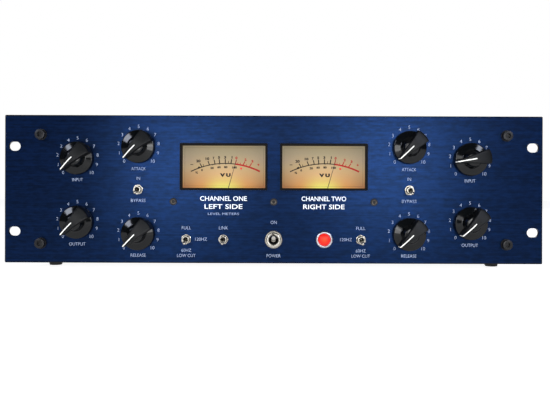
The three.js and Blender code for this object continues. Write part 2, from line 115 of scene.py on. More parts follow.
def speckle(tree, cell, detail):
    """Noise that is fixed to the object, with cells of the given size in mm. Returns its value's socket."""
    place = add(tree, "ShaderNodeTexCoord").outputs["Object"]
    noise = add(tree, "ShaderNodeTexNoise", {"Vector": place, "Scale": 1 / (cell * MM), "Detail": detail})
    return noise.outputs[0]


def shaded(tree, shader, share, dark, light, socket="Base Color"):
    """Colours a shader between two hex codes by a share from 0 to 1. Returns the ramp."""
    ramp = add(tree, "ShaderNodeValToRGB", {"Fac": share})
    ramp.color_ramp.elements[0].color = linear(dark)
    ramp.color_ramp.elements[1].color = linear(light)
    tree.links.new(ramp.outputs[0], shader.inputs[socket])
    return ramp


def roughened(tree, shader, share, low, high):
    """Moves a shader's roughness between two values by a share from 0 to 1."""
    rough = add(tree, "ShaderNodeMapRange", {"Value": share, "To Min": low, "To Max": high})
    tree.links.new(rough.outputs[0], shader.inputs["Roughness"])


def embossed(tree, shader, height, strength, distance):
    """Bends a shader's normal by a height, distance in metres."""
    relief = add(tree, "ShaderNodeBump", {"Height": height, "Strength": strength, "Distance": distance})
    tree.links.new(relief.outputs[0], shader.inputs["Normal"])


def grid_mesh(name, points, material=None, smooth=35.0, around=True):
    """Points[row, column] as a mesh of four-sided faces, closed round its columns when around is set.
    Rows that shrink to a point or a line are merged, so a closed profile gives a closed skin."""
    rows, columns = points.shape[:2]
    index = np.arange(rows * columns).reshape(rows, columns)
    if around:
        index = np.concatenate([index, index[:, :1]], axis=1)
    faces = np.stack([index[:-1, :-1], index[:-1, 1:], index[1:, 1:], index[1:, :-1]], axis=-1)
    mesh = bpy.data.meshes.new(name)
    mesh.from_pydata(points.reshape(-1, 3).tolist(), [], faces.reshape(-1, 4).tolist())
    return finished(name, mesh, smooth, material)


def finished(name, mesh, smooth=35.0, material=None):
    """Merges a mesh's doubles, turns its faces out, smooths it below an angle and puts it in the scene."""
    work = bmesh.new()
    work.from_mesh(mesh)
    bmesh.ops.remove_doubles(work, verts=work.verts, dist=2e-6)
    bmesh.ops.dissolve_degenerate(work, edges=work.edges, dist=1e-7)
    bmesh.ops.recalc_face_normals(work, faces=work.faces)
    work.to_mesh(mesh)
    work.free()
    mesh.shade_smooth()
    mesh.set_sharp_from_angle(angle=np.radians(smooth))
    if material:
        mesh.materials.append(material)
    return placed(name, mesh)


def placed(name, data):
    """Puts a mesh, a light or a curve in the scene as an object."""
    made = bpy.data.objects.new(name, data)
    bpy.context.scene.collection.objects.link(made)
    return made


def settle(piece, slot, *replaced, body="chassis"):
    """Puts a piece on the body that it rides on, and hides the CAD nodes that it stands for. slot is not
    used.
    """
    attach(piece, body)
    if replaced:
        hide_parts(*replaced)
    return piece


FLOOR_DROP = 0.2 * MM
glowing = {"Emission_Color": "#ffffff", "Emission_Strength": 0.94}
floor_paint = finish_of("matt_white_floor_paint", "#a8a8a8", Roughness=0.85, **glowing)[0]
floor_x, floor_y = np.meshgrid(np.linspace(-4, 4, 9), np.linspace(-4, 4, 9))
floor_points = np.stack([floor_x, floor_y, 0 * floor_x - FLOOR_DROP], axis=-1)
floor = grid_mesh("floor", floor_points, around=False, material=floor_paint)

world = bpy.data.worlds.new("studio")
bpy.context.scene.world = world
world.use_nodes = True
studio = world.node_tree
studio.nodes.clear()
ray = add(studio, "ShaderNodeLightPath")
room = add(studio, "ShaderNodeBackground", {"Color": linear("#c9d2e2"), "Strength": 0.06})
backdrop = add(studio, "ShaderNodeBackground", {"Color": linear("#ffffff"), "Strength": 1.0})
seen = add(studio, "ShaderNodeMixShader")
studio.links.new(ray.outputs["Is Camera Ray"], seen.inputs[0])
studio.links.new(room.outputs[0], seen.inputs[1])
studio.links.new(backdrop.outputs[0], seen.inputs[2])
air = add(studio, "ShaderNodeOutputWorld")
studio.links.new(seen.outputs[0], air.inputs["Surface"])


def softbox(name, place, aim, width, height, power, colour="#ffffff"):
    """A rectangular area light at place, facing aim, in metres and watts."""
    data = bpy.data.lights.new(name, "AREA")
    data.shape = "RECTANGLE"
    data.size = width
    data.size_y = height
    data.energy = power
    data.color = linear(colour)[:3]
    made = placed(name, data)
    made.location = place
    made.rotation_euler = (Vector(aim) - Vector(place)).to_track_quat("-Z", "Y").to_euler()


aim = (0, panel_face, 0.07)
for side, reach in (("left", -1), ("right", 1)):
    softbox(f"near_box_{side}", (reach * 0.17 + 0.01, -0.61, 0.115), aim, 0.165, 0.16, 0.6)
    softbox(f"side_box_{side}", (reach * 0.95, -1.13, 0.66), aim, 0.34, 0.46, 8.0, "#e6edff")
softbox("front_box", (0.11, -0.78, 0.2), (0.04, -0.1135, 0.07), 0.6, 0.12, 0.8)
softbox("over_box", (0, -0.35, 1.3), (0, 0, 0.05), 1.6, 0.5, 1.2)
softbox("back_box", (0.7, 1.6, 1.1), (0, 0, 0.05), 1.2, 0.8, 10.0)

# ---------- front panel ----------
# A 3 mm aluminium plate, brushed lengthways, dyed blue and sealed. The grain spreads reflections upwards
# and downwards, and the seal gives a faint white sheen over the blue metal.
DYE_DARK = "#08172f"
DYE_LIGHT = "#0c2145"
# Almost black painted shade for the plate's edges and hole walls.
EDGE_PAINTED_SHADE = "#04070f"
GRAIN_PITCH = 0.35 * MM


def blended(tree, share, first, second):
    """Two colours, or sockets that give them, mixed by a share from 0 to 1. Returns the mix's socket."""
    return add(tree, "ShaderNodeMix", {0: share, 6: first, 7: second}, data_type="RGBA").outputs[2]


def brushed_blue():
    """Dyed anodised aluminium, brushed: fine lengthwise lines move its shade, roughness and surface, and the
    faces that turn away from the front, its edges and hole walls, are painted almost black as painted shade."""
    seal = {"Coat_Weight": 0.05, "Coat_Roughness": 0.3}
    name = "brushed_blue_anodised_aluminium"
    material, tree, shader = finish_of(name, Metallic=1.0, Anisotropic=0.4, **seal)
    shader.inputs["Anisotropic Rotation"].default_value = 0.25
    place = add(tree, "ShaderNodeTexCoord").outputs["Object"]
    lines = add(tree, "ShaderNodeMapping", {"Vector": place, "Scale": (6, 1 / GRAIN_PITCH, 1 / GRAIN_PITCH)})
    grain = add(tree, "ShaderNodeTexNoise", {"Vector": lines.outputs[0], "Scale": 1.0, "Detail": 3.0})
    clouds = add(tree, "ShaderNodeMapping", {"Vector": place, "Scale": (160, 400, 520)})
    cloud = add(tree, "ShaderNodeTexNoise", {"Vector": clouds.outputs[0], "Scale": 1.0, "Detail": 4.0})
    mixed = add(tree, "ShaderNodeMath", {0: grain.outputs[0], 1: cloud.outputs[0]}, operation="ADD")
    level = add(tree, "ShaderNodeMapRange", {"Value": mixed.outputs[0], "From Min": 0.78, "From Max": 1.22})
    shade = shaded(tree, shader, level.outputs[0], DYE_DARK, DYE_LIGHT)
    normal = add(tree, "ShaderNodeNewGeometry").outputs["Normal"]
    facing = add(tree, "ShaderNodeSeparateXYZ", {"Vector": normal})
    flat = add(tree, "ShaderNodeMath", {0: facing.outputs["Y"]}, operation="ABSOLUTE")
    # Painted shade: faces that turn away from the front and back take the almost black colour.
    edge = add(tree, "ShaderNodeMapRange", {"Value": flat.outputs[0], "From Min": 0.9, "From Max": 0.8})
    dye_and_edge_shade = blended(tree, edge.outputs[0], shade.outputs[0], linear(EDGE_PAINTED_SHADE))
    tree.links.new(dye_and_edge_shade, shader.inputs["Base Color"])
    roughened(tree, shader, grain.outputs[0], 0.25, 0.36)
    embossed(tree, shader, grain.outputs[0], 0.12, 0.04 * MM)
    along = add(tree, "ShaderNodeTangent", direction_type="RADIAL", axis="Z")
    tree.links.new(along.outputs[0], shader.inputs["Tangent"])
    return material


def paint(node_name, material):
    """Gives a CAD node its finish."""
    nodes[node_name].data.materials.clear()
    nodes[node_name].data.materials.append(material)


paint("front_panel", brushed_blue())

# ---------- printed legends ----------
# White screen printing in a plain sans face, all capitals. Each word is a film 0.03 mm thick on the plate.
INK_THICK = 0.03 * MM
LETTER_HEIGHT = 2.75 * MM
FINE = -0.014


def ink():
    """Screen-printing ink: off-white, slightly blue, matt, a little uneven in cover."""
    material, tree, shader = finish_of("white_screen_printing_ink", Roughness=0.6)
    shaded(tree, shader, speckle(tree, 1.5, 2.0), "#8e9dbc", "#b9c6de")
    return material


def letters(text, height, width=None, weight=0.0):
    """Text as vertices [n, 3] and faces, standing in x and z about its own middle, with y its thickness.
    Its capitals are height tall, it is stretched to width where one is given, and weight makes it bolder."""
    curve = bpy.data.curves.new("text", "FONT")
    curve.body = text
    curve.align_x = "CENTER"
    curve.extrude = 0.5
    curve.offset = weight
    curve.resolution_u = 3
    holder = placed("text", curve)
    bpy.context.view_layer.update()
    shape = bpy.data.meshes.new_from_object(holder.evaluated_get(bpy.context.evaluated_depsgraph_get()))
    flat = np.zeros(len(shape.vertices) * 3)
    shape.vertices.foreach_get("co", flat)
    flat = flat.reshape(-1, 3)
    faces = [list(face.vertices) for face in shape.polygons]
    bpy.data.objects.remove(holder)
    bpy.data.meshes.remove(shape)
    low, high = flat.min(0), flat.max(0)
    scale_up = height / (high[1] - low[1])
    scale_across = width / (high[0] - low[0]) if width else scale_up
    across = (flat[:, 0] - (low[0] + high[0]) / 2) * scale_across
    up = (flat[:, 1] - (low[1] + high[1]) / 2) * scale_up
    return np.stack([across, -flat[:, 2] * INK_THICK, up], axis=1), faces


def printing(name, words, material, face, weight=0.0, back=False, slot="legend_ink"):
    """One mesh of several words on the chassis. Each is (text, x, z, height, width), its middle at x, z on
    the plane y = face. back turns the words to be read from behind."""
    all_points, all_faces, count = [], [], 0
    for text, x, z, height, width in words:
        points, faces = letters(text, height, width, weight)
        if back:
            points = points * (-1, -1, 1)
        all_points.append(points + (x, face, z))
        all_faces += [[corner + count for corner in corners] for corners in faces]
        count += len(points)
    mesh = bpy.data.meshes.new(name)
    mesh.from_pydata(np.concatenate(all_points).tolist(), [], all_faces)
    mesh.materials.append(material)
    return settle(placed(name, mesh), slot)


def middle_of(node_name):
    """The middle of a CAD node."""
    low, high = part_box(node_name)
    return (low + high) / 2


def centre_of(node_name):
    """The middle of a CAD node, across and up."""
    middle = middle_of(node_name)
    return middle.x, middle.z


white_ink = ink()
SIDES = ("left", "right")
KNOB_WORDS = {
    "input": (-19.2, 9.5),
    "output": (-19.7, 14.6),
    "attack": (-19.7, 12.8),
    "release": (-19.5, 13.5),
}
DIAL_TURN = 27.0
DIAL_ZERO = -135.0
RING_RADIUS = 18.2 * MM
DIGIT_HEIGHT = 2.9 * MM
for side in SIDES:
    for control, (drop, width) in KNOB_WORDS.items():
        x, z = centre_of(f"{control}_pot_{side}")
        words = [(control.upper(), x, z + drop * MM, LETTER_HEIGHT, width * MM)]
        for number in range(11):
            turn = np.radians(DIAL_ZERO + DIAL_TURN * number)
            place = (x + RING_RADIUS * np.sin(turn), z + RING_RADIUS * np.cos(turn))
            words.append((str(number), *place, DIGIT_HEIGHT, None))
        printing(f"{control}_scale_{side}", words, white_ink, panel_face, weight=FINE)

BYPASS_WORDS = [("IN", 0, 9.9, 3.1), ("BYPASS", 0, -9.9, 13.0)]
LOWCUT_WORDS = [("FULL", 0, 10.1, 8.1), ("60HZ", 0, -10, 8.8), ("LOW CUT", 0, -14.7, 16.5)]
SWITCH_WORDS = {
    "bypass_left": BYPASS_WORDS,
    "bypass_right": BYPASS_WORDS,
    "lowcut_left": [("120HZ", 13.2, 0, 10.5), *LOWCUT_WORDS],
    "lowcut_right": [("120HZ", -13.2, 0, 10.5), *LOWCUT_WORDS],
    "link": [("LINK", 0, 10.2, 7.9)],
    "power": [("ON", 0, 15.2, 5.4), ("POWER", 0, -14.7, 12.4)],
}
for switch, labels in SWITCH_WORDS.items():
    x, z = centre_of(f"{switch}_switch")
    words = [(text, x + dx * MM, z + dz * MM, LETTER_HEIGHT, width * MM) for text, dx, dz, width in labels]
    printing(f"{switch}_words", words, white_ink, panel_face, weight=FINE)

# ---------- pointer knobs ----------
# Compression-moulded phenolic: a polished skirt with a sloping top, a round boss, and a satin wedge-shaped
# wing right across it that narrows to the pointer's tip. A line of white enamel runs from the middle over
# the tip, and the skirt's bore sits on the pot's shaft.
KNOB_GAP = 1.0
RIM_RADIUS = 14.9
RIM_TOP = 5.7
SKIRT_TOP = 7.3
BOSS_FOOT = 8.3
BOSS_RADIUS = 6.4
BOSS_TOP = 14.6
WING_TOP = 20.6
WING_END = 16.6
TIP_HALF = 1.3


def softened(points, reach, steps=4, closed=False):
    """An outline or profile whose corners are replaced by curves that start reach before each corner."""
    points = np.asarray(points, float)
    count = len(points)
    reaches = np.broadcast_to(np.asarray(reach, float), (count,))
    made = [] if closed else [points[:1]]
    share = np.linspace(0, 1, steps + 1)[:, None]
    for i in range(count) if closed else range(1, count - 1):
        before, corner, after = points[i - 1], points[i], points[(i + 1) % count]
        back, ahead = before - corner, after - corner
        start = corner + back * min(0.5, reaches[i] / np.linalg.norm(back))
        end = corner + ahead * min(0.5, reaches[i] / np.linalg.norm(ahead))
        made.append((1 - share) ** 2 * start + 2 * share * (1 - share) * corner + share**2 * end)
    if not closed:
        made.append(points[-1:])
    return np.concatenate(made)


def turned(name, rows, x, z, material, segments=64, face=None, back=False, lean=0.0, turn=0.0, smooth=35.0):
    """Rings round a line out of the face at x, z. Each row is (radius, h) in mm, and a radius may be an array
    over the angle. turn sets the first angle in degrees. lean tips the line about its h = 0 point. back makes
    h stand out of the rear."""
    way = np.linspace(0, 2 * np.pi, segments, endpoint=False) + np.radians(turn)
    radius = np.stack([np.broadcast_to(row[0], segments) for row in rows]) * MM
    out = np.stack([np.broadcast_to(row[1], segments) for row in rows]) * MM
    across, up = radius * np.sin(way), radius * np.cos(way)
    out, up = out * np.cos(lean) - up * np.sin(lean), out * np.sin(lean) + up * np.cos(lean)
    face = panel_face if face is None else face
    depth = face + out if back else face - out
    return grid_mesh(name, np.stack([x + across, depth, z + up], axis=-1), material, smooth)


def turn_about(points, x, z, degrees):
    """Points [..., 3] of across, h and up in mm, turned clockwise as seen from the front, and set at x, z."""
    angle = np.radians(degrees)
    across = points[..., 0] * np.cos(angle) + points[..., 2] * np.sin(angle)
    up = points[..., 2] * np.cos(angle) - points[..., 0] * np.sin(angle)
    return np.stack([x + across * MM, panel_face - points[..., 1] * MM, z + up * MM], axis=-1)


def phenolic(name, roughness, grit, specular):
    """Black phenolic: deep black body colour, moulding-powder specks and a fine uneven surface."""
    material, tree, shader = finish_of(name, Roughness=roughness, Specular_IOR_Level=specular)
    speck = speckle(tree, 0.8, 4.0)
    shaded(tree, shader, speck, "#040506", "#0b0d0f")
    embossed(tree, shader, speck, grit, 0.08 * MM)
    return material


def wing_height(along):
    """The wing's top line: an arch, highest over the shaft and lower at both ends."""
    return WING_TOP - (WING_TOP - WING_END) * (along / RIM_RADIUS) ** 2


def wing_outline():
    """The wing from the front, pointer up: straight sides from a wide tail on the rim to a narrow tip."""
    tail = np.radians(np.linspace(-26, 26, 15))
    arc = np.stack([-RIM_RADIUS * np.sin(tail), -RIM_RADIUS * np.cos(tail)], axis=1)[::-1]
    shares = np.linspace(0, 1, 13)[1:-1, None]
    turn = np.linspace(0, np.pi, 9)
    tip = np.stack([TIP_HALF * np.cos(turn), 14.2 + 0.7 * np.sin(turn)], axis=1)
    up = arc[-1] + (tip[0] - arc[-1]) * shares
    down = tip[-1] + (arc[0] - tip[-1]) * shares
    return np.concatenate([arc, up, tip, down])


def wing_points():
    """Rings round the wing: up its drafted wall, over a rounded edge, then in to the wing's middle line."""
    outline = wing_outline()
    ahead = np.roll(outline, -1, axis=0) - np.roll(outline, 1, axis=0)
    inward = np.stack([-ahead[:, 1], ahead[:, 0]], axis=1)
    inward /= np.linalg.norm(inward, axis=1, keepdims=True)
    spine = np.stack([0 * outline[:, 0], np.clip(outline[:, 1], -12.0, 13.6)], axis=1)
    rings = []
    for level in (5.0, 9.0, 13.0):
        rings.append(np.insert(outline, 1, level, axis=1))
    edge = 0.9
    for angle in np.radians(np.linspace(0, 90, 6)):
        ring = outline + inward * edge * (1 - np.cos(angle))
        height = wing_height(ring[:, 1]) - edge * (1 - np.sin(angle))
        rings.append(np.insert(ring, 1, height, axis=1))
    inner = outline + inward * edge
    for share in (0.25, 0.5, 0.75, 1.0):
        ring = inner + (spine - inner) * share
        rings.append(np.insert(ring, 1, wing_height(ring[:, 1]), axis=1))
    bottom = np.insert(spine, 1, 5.0, axis=1)
    return np.stack([bottom, *rings])


def line_points():
    """A painted strip: a round-topped section carried along the wing's top line and over its tip."""
    half, proud, end, bend = 0.43, 0.12, 14.1, 0.75
    turn = np.linspace(0, 2 * np.pi, 13)[:-1]
    section = np.stack([half * np.cos(turn), proud * np.sin(turn)], axis=1)
    path = [(u, wing_height(u), 0.0) for u in np.linspace(-0.4, end, 12)]
    for angle in np.radians((30, 60, 90)):
        path.append((end + bend * np.sin(angle), wing_height(end) - bend * (1 - np.cos(angle)), angle))
    path.append((end + bend, 6.2, np.pi / 2))
    path = np.array(path)
    up, out, tilt = path[:, :1], path[:, 1:2], path[:, 2:]
    across = np.repeat(section[None, :, 0], len(path), axis=0)
    lift = section[None, :, 1]
    rings = np.stack([across, out + lift * np.cos(tilt), up + lift * np.sin(tilt)], axis=-1)
    ends = [np.repeat(cap.mean(1, keepdims=True), rings.shape[1], axis=1) for cap in (rings[:1], rings[-1:])]
    return np.concatenate([ends[0], rings, ends[1]])


SKIRT_PROFILE = softened(
    [
        (3.06, 4.8),
        (9.0, 4.8),
        (9.0, KNOB_GAP),
        (RIM_RADIUS, KNOB_GAP),
        (RIM_RADIUS - 0.25, RIM_TOP),
        (BOSS_FOOT, SKIRT_TOP),
        (BOSS_RADIUS, BOSS_TOP),
        (0.0, BOSS_TOP + 0.5),
    ],
    [0, 0.3, 0.3, 0.5, 0.9, 1.1, 1.2, 0],
)
SKIRT_PROFILE = np.concatenate([[(0.0, 13.2), (3.06, 13.2)], SKIRT_PROFILE])
polished = phenolic("polished_black_phenolic", 0.1, 0.05, 0.27)
satin = phenolic("satin_black_phenolic", 0.45, 0.35, 0.2)
# The white enamel line is given a faint painted glow.
bright = {"Emission_Color": "#f6f6ee", "Emission_Strength": 0.15}
pointer_paint = finish_of("white_pointer_enamel_painted_glow", "#f6f6ee", Roughness=0.4, **bright)[0]
brass = finish_of("turned_brass", "#c9a45a", Metallic=1.0, Roughness=0.3)[0]
KNOB_TURNS = {f"{control}_knob_{side}": DIAL_ZERO for side in SIDES for control in KNOB_WORDS}
KNOB_TURNS["input_knob_right"] += 35.0

for knob, turn in KNOB_TURNS.items():
    control, side = knob.split("_knob_")
    x, z = centre_of(f"{control}_pot_{side}")
    skirt = turned(f"{control}_skirt_{side}", SKIRT_PROFILE, x, z, polished, segments=96)
    settle(skirt, "phenolic", knob, body=knob)
    wing = turn_about(wing_points(), x, z, turn)
    settle(grid_mesh(f"{control}_wing_{side}", wing, satin), "phenolic", body=knob)
    line = turn_about(line_points(), x, z, turn)
    line = grid_mesh(f"{control}_line_{side}", line, pointer_paint)
    settle(line, "pointer_paint", body=knob)

# ---------- pot nuts and set screws ----------
# A zinc-plated hexagon nut clamps each pot to the panel under the knob's skirt. A brass set screw enters
# the skirt's rim from the side and holds the knob on its shaft.
def hexagon(across_flats, count=96):
    """A hexagon's radius at even angles: half the distance across its flats over cos(angle from a flat)."""
    angle = np.linspace(0, 2 * np.pi, count, endpoint=False)
    return across_flats / 2 / np.cos((angle + np.pi / 6) % (np.pi / 3) - np.pi / 6)


def hex_nut(name, across_flats, low, high, bore, x, z, turn, material):
    """A hexagon nut whose corners are cut by a 30 degree cone."""
    flats = hexagon(across_flats)
    cone = across_flats / 2 + 0.12
    corner = high - np.maximum(flats - cone, 0) * 0.577
    rows = [(bore, low), (flats, low), (flats, corner), (np.minimum(flats, cone), high)]
    rows += [(bore + 0.3, high), (bore, high - 0.3), (bore, low)]
    return turned(name, rows, x, z, material, 96, turn=turn, smooth=25.0)


def plated(name, colour, roughness, metallic=1.0):
    """Bright plated metal: clean colour, with a faint cloudiness in its polish."""
    material, tree, shader = finish_of(name, colour, Metallic=metallic)
    roughened(tree, shader, speckle(tree, 1.2, 3.0), roughness * 0.7, roughness * 1.4)
    return material


nickel = plated("bright_nickel_plate", "#aba79e", 0.24)
zinc = plated("zinc_plated_steel", "#a9aaa8", 0.38)
SET_SCREW = ((0, 14.2), (0.8, 14.2), (0.8, 14.75), (1.25, 14.8), (1.25, 13.5), (0, 13.5))
SET_SCREW_HEIGHT = 3.3
angle = np.linspace(0, 2 * np.pi, 16, endpoint=False)
rings = []
for radius, deep in SET_SCREW:
    ring = (radius * np.cos(angle), SET_SCREW_HEIGHT + radius * np.sin(angle), 0 * angle + deep)
    rings.append(np.stack(ring, axis=-1))
for knob, turn in KNOB_TURNS.items():
    control, side = knob.split("_knob_")
    x, z = centre_of(f"{control}_pot_{side}")
    nut = hex_nut(f"{control}_pot_nut_{side}", 12.0, 0.1, 2.3, 4.75, x, z, 10.0, zinc)
    settle(nut, "plated_steel")
    points = turn_about(np.stack(rings), x, z, turn + 180)
    settle(grid_mesh(f"{control}_set_screw_{side}", points, brass), "brass", body=knob)

# ---------- toggle switches ----------
# Nickel-plated bat levers rock in threaded brass bushings. A hexagon nut clamps each small switch, and
# a knurled ring nut clamps the power switch. No two nuts stop at the same angle.
MINI = {"sleeve": 3.26, "top": 6.6, "bore": 2.26, "floor": 0.5, "pitch": 0.75}
POWER = {"sleeve": 6.12, "top": 9.1, "bore": 4.46, "floor": 1.0, "pitch": 1.0}
NUT_TURNS = {
    "link": 0.0,
    "lowcut_left": 34.0,
    "lowcut_right": 22.0,
    "bypass_left": 47.0,
    "bypass_right": 8.0,
}
MINI_LEVER = (1.5, 0.85, 1.45, 12.9, 4.5)
POWER_LEVER = (3.3, 1.6, 2.5, 15.5, 5.5)
LEAN = 12.5
# Painted shade: a black cup set in each bushing's bore stands for the shade deep inside it.
shade_cup_black = plated("black_painted_shade_cup", "#0b0b0c", 0.5, metallic=0.3)


def sleeve(name, size, x, z, material):
    """The bushing's skin: inside wall, rolled lip, and a thread whose radius falls and rises every pitch."""
    crest, top, bore = size["sleeve"], size["top"], size["bore"]
    profile = [(bore, size["floor"]), (bore, top - 0.35), (bore + 0.3, top), (crest - 0.3, top)]
    steps = np.arange(top - 0.3, 0.05, -size["pitch"] / 2)
    profile += [(crest - 0.13 * (i % 2), h) for i, h in enumerate(steps)]
    profile += [(crest - 0.13, 0.02), (bore, 0.02), (bore, size["floor"])]
    return turned(name, profile, x, z, material, segments=48, smooth=50.0)


def pivot_of(joint):
    """A joint's place in the frame."""
    return Vector(next(j for j in frame["joints"] if j["name"] == joint)["pos_m"])


def bat_lever(name, joint, sizes, lean, material):
    """A lever turned in one piece: tail, ball, thin neck and a bat that swells to a round tip.
    The bat's radius is neck + (tip - neck) t^1.2, and it ends in a half ellipse."""
    ball, neck, tip, length, tail = sizes
    pivot = pivot_of(joint)
    profile = [(0, -tail), (neck * 0.9, -tail)]
    low = np.arccos(neck / ball)
    profile += [(ball * np.cos(a), ball * np.sin(a)) for a in np.linspace(-low, low, 13)]
    swell = np.linspace(0.06, 1, 10)
    shoulder = length - 1.15 * tip
    profile += [(neck + (tip - neck) * t**1.2, ball + (shoulder - ball) * t) for t in swell]
    end = np.linspace(0.2, np.pi / 2, 8)
    profile += [(tip * np.cos(a), shoulder + 1.15 * tip * np.sin(a)) for a in end]
    profile[-1] = (0, length)
    return turned(name, profile, pivot.x, pivot.z, material, 40, pivot.y, lean=lean)


for switch, nut_turn in NUT_TURNS.items():
    x, z = centre_of(f"{switch}_switch")
    settle(sleeve(f"{switch}_bushing", MINI, x, z, nickel), "nickel")
    # A black cup in the bore as painted shade.
    cup = [(0, 2.0), (2.24, 2.0), (2.24, 6.1), (2.05, 6.1), (2.05, 2.3), (0, 2.3)]
    settle(turned(f"{switch}_seat", cup, x, z, shade_cup_black, segments=32), "black_plastic")
    nut = hex_nut(f"{switch}_nut", 8.0, 0.05, 2.1, 3.3, x, z, nut_turn, nickel)
    settle(nut, "nickel")
    lever = bat_lever(f"{switch}_bat", f"{switch}_flip", MINI_LEVER, -np.radians(LEAN), nickel)
    settle(lever, "nickel", f"{switch}_lever", body=f"{switch}_lever")

x, z = centre_of("power_switch")
settle(sleeve("power_bushing", POWER, x, z, nickel), "nickel")
# A black cup in the bore as painted shade.
cup = [(0, 1.2), (4.44, 1.2), (4.44, 8.4), (4.2, 8.4), (4.2, 1.5), (0, 1.5)]
settle(turned("power_seat", cup, x, z, shade_cup_black, segments=48), "black_plastic")
knurl = 7.95 - 0.09 * (np.arange(180) % 3 == 0)
ring = [(6.2, 0.05), (knurl, 0.05), (knurl, 2.2), (7.3, 2.9), (6.5, 2.9), (6.2, 2.6), (6.2, 0.05)]
ring_nut = turned("power_ring_nut", ring, x, z, nickel, 180, smooth=40.0)
settle(ring_nut, "nickel")
lever = bat_lever("power_bat", "power_flip", POWER_LEVER, np.radians(LEAN), nickel)
settle(lever, "nickel", "power_lever", body="power_lever")

# ---------- pilot lamp ----------
# A turned brass bezel with chrome plate holds a domed red acrylic lens. The bulb behind it makes the lens
# orange in the middle and deep red at its rim.
LENS_RADIUS = 5.7 * MM
chrome = plated("chrome_plated_brass", "#b4b8be", 0.27)
x, z = centre_of("lamp_bezel")
bezel = [(0, -23.9), (6.28, -23.9), (6.28, 0.02), (7.75, 0.02), (7.75, 1.7)]
bezel += [(7.0, 3.1), (6.0, 3.1), (5.72, 2.6), (5.72, 0.6)]
bezel = softened(bezel, [0, 0.4, 0, 0.3, 0.5, 0.5, 0.3, 0.3, 0])
bezel = np.concatenate([bezel, [(0, 0.6)]])
settle(turned("lamp_ring", bezel, x, z, chrome, segments=96), "nickel", "lamp_bezel")


def lit_lens(middle_x, middle_z):
    """Translucent red acrylic lit by a small bulb: orange-hot in the middle, deeper red at the rim."""
    lit = {"Emission_Strength": 0.85, "Specular_IOR_Level": 0.2}
    material, tree, shader = finish_of("lit_red_acrylic", "#8c0c08", Roughness=0.35, **lit)
    place = add(tree, "ShaderNodeTexCoord").outputs["Object"]
    shift = (-middle_x / LENS_RADIUS, 0, -middle_z / LENS_RADIUS)
    scale = (1 / LENS_RADIUS, 0, 1 / LENS_RADIUS)
    centred = add(tree, "ShaderNodeMapping", {"Vector": place, "Location": shift, "Scale": scale})
    spread = add(tree, "ShaderNodeVectorMath", {0: centred.outputs[0]}, operation="LENGTH")
    glow = shaded(tree, shader, spread.outputs["Value"], "#ff5a1e", "#e0201a", "Emission Color")
    glow.color_ramp.elements.new(0.55).color = linear("#ff3220")
    return material


dome = [(0, 0.65), (5.4, 0.65), (5.4, 3.0)]
dome += [(5.4 * np.cos(a), 3.0 + 2.3 * np.sin(a)) for a in np.linspace(0.12, np.pi / 2, 12)]
dome[-1] = (0, 5.3)
lens = turned("lamp_dome", dome, x, z, lit_lens(x, z), segments=64, smooth=60.0)
settle(lens, "red_lens", "lamp_lens")

# ---------- VU meters ----------
# A black moulded case shows only its frame through the panel. A lamp under the card lights it from below,
# so it is yellow low in the middle, orange in the low corners and tan at the top. Scale and numbers are
# printed.
CARD_HALF = (37.3, 19.05)
CARD_SCALE = 1.012
ARC_RADIUS = 70.0
ARC_TOP = 3.1
ARC_MIDDLE = 1.2
PIVOT_DROP = 33.0
LIT_MIDDLE = ("#f4ee72", "#ebcb74", "#e4b983", "#d6b687", "#bda884", "#a99c7c", "#a0926f")
LIT_HALFWAY = ("#dc9a50", "#d8a066", "#d0a673", "#c7ab7c", "#b8a07c", "#a6977a", "#9a8b6c")
LIT_SIDES = ("#a26c46", "#ae8458", "#b29068", "#ae9776", "#a5927a", "#998c72", "#8a8069")


def card_light(middle_x, middle_z):
    """Printed card lit from below: three upward colour ramps, for the middle, half way out and the sides,
    blended by the distance from the middle line."""
    lit = {"Roughness": 0.9, "Emission_Strength": 1.0}
    material, tree, shader = finish_of("printed_card_lit_from_below", "#2a2418", **lit)
    place = add(tree, "ShaderNodeTexCoord").outputs["Object"]
    parts = add(tree, "ShaderNodeSeparateXYZ", {"Vector": place})
    low, high = middle_z - CARD_HALF[1] * MM, middle_z + CARD_HALF[1] * MM
    rise = add(tree, "ShaderNodeMapRange", {"Value": parts.outputs["Z"], "From Min": low, "From Max": high})
    ramps = []
    for colours in (LIT_MIDDLE, LIT_HALFWAY, LIT_SIDES):
        ramp = add(tree, "ShaderNodeValToRGB", {"Fac": rise.outputs[0]})
        stops = ramp.color_ramp.elements
        stops[0].color, stops[1].color = linear(colours[0]), linear(colours[-1])
        for i, colour in enumerate(colours[1:-1], start=1):
            stops.new(i / (len(colours) - 1)).color = linear(colour)
        ramps.append(ramp.outputs[0])
    shift = add(tree, "ShaderNodeMath", {0: parts.outputs["X"], 1: middle_x}, operation="SUBTRACT")
    away = add(tree, "ShaderNodeMath", {0: shift.outputs[0]}, operation="ABSOLUTE")
    bands = []
    for start, end in ((2, 22), (18, 38)):
        limits = {"Value": away.outputs[0], "From Min": start * MM, "From Max": end * MM}
        bands.append(add(tree, "ShaderNodeMapRange", limits, interpolation_type="SMOOTHSTEP").outputs[0])
    inner = blended(tree, bands[0], ramps[0], ramps[1])
    tree.links.new(blended(tree, bands[1], inner, ramps[2]), shader.inputs["Emission Color"])
    return material


def plain(name, colour, roughness, grit=0.05, cell=0.6, **inputs):
    """A moulded or painted solid colour with a fine uneven surface. cell is the unevenness's size in mm."""
    material, tree, shader = finish_of(name, colour, Roughness=roughness, **inputs)
    embossed(tree, shader, speckle(tree, cell, 3.0), grit, 0.06 * MM)
    return material


def arc_height(across):
    """The arc's height over the card's middle, in mm: the top of a circle of ARC_RADIUS about ARC_MIDDLE."""
    return ARC_TOP - ARC_RADIUS + np.sqrt(ARC_RADIUS**2 - (across - ARC_MIDDLE) ** 2)


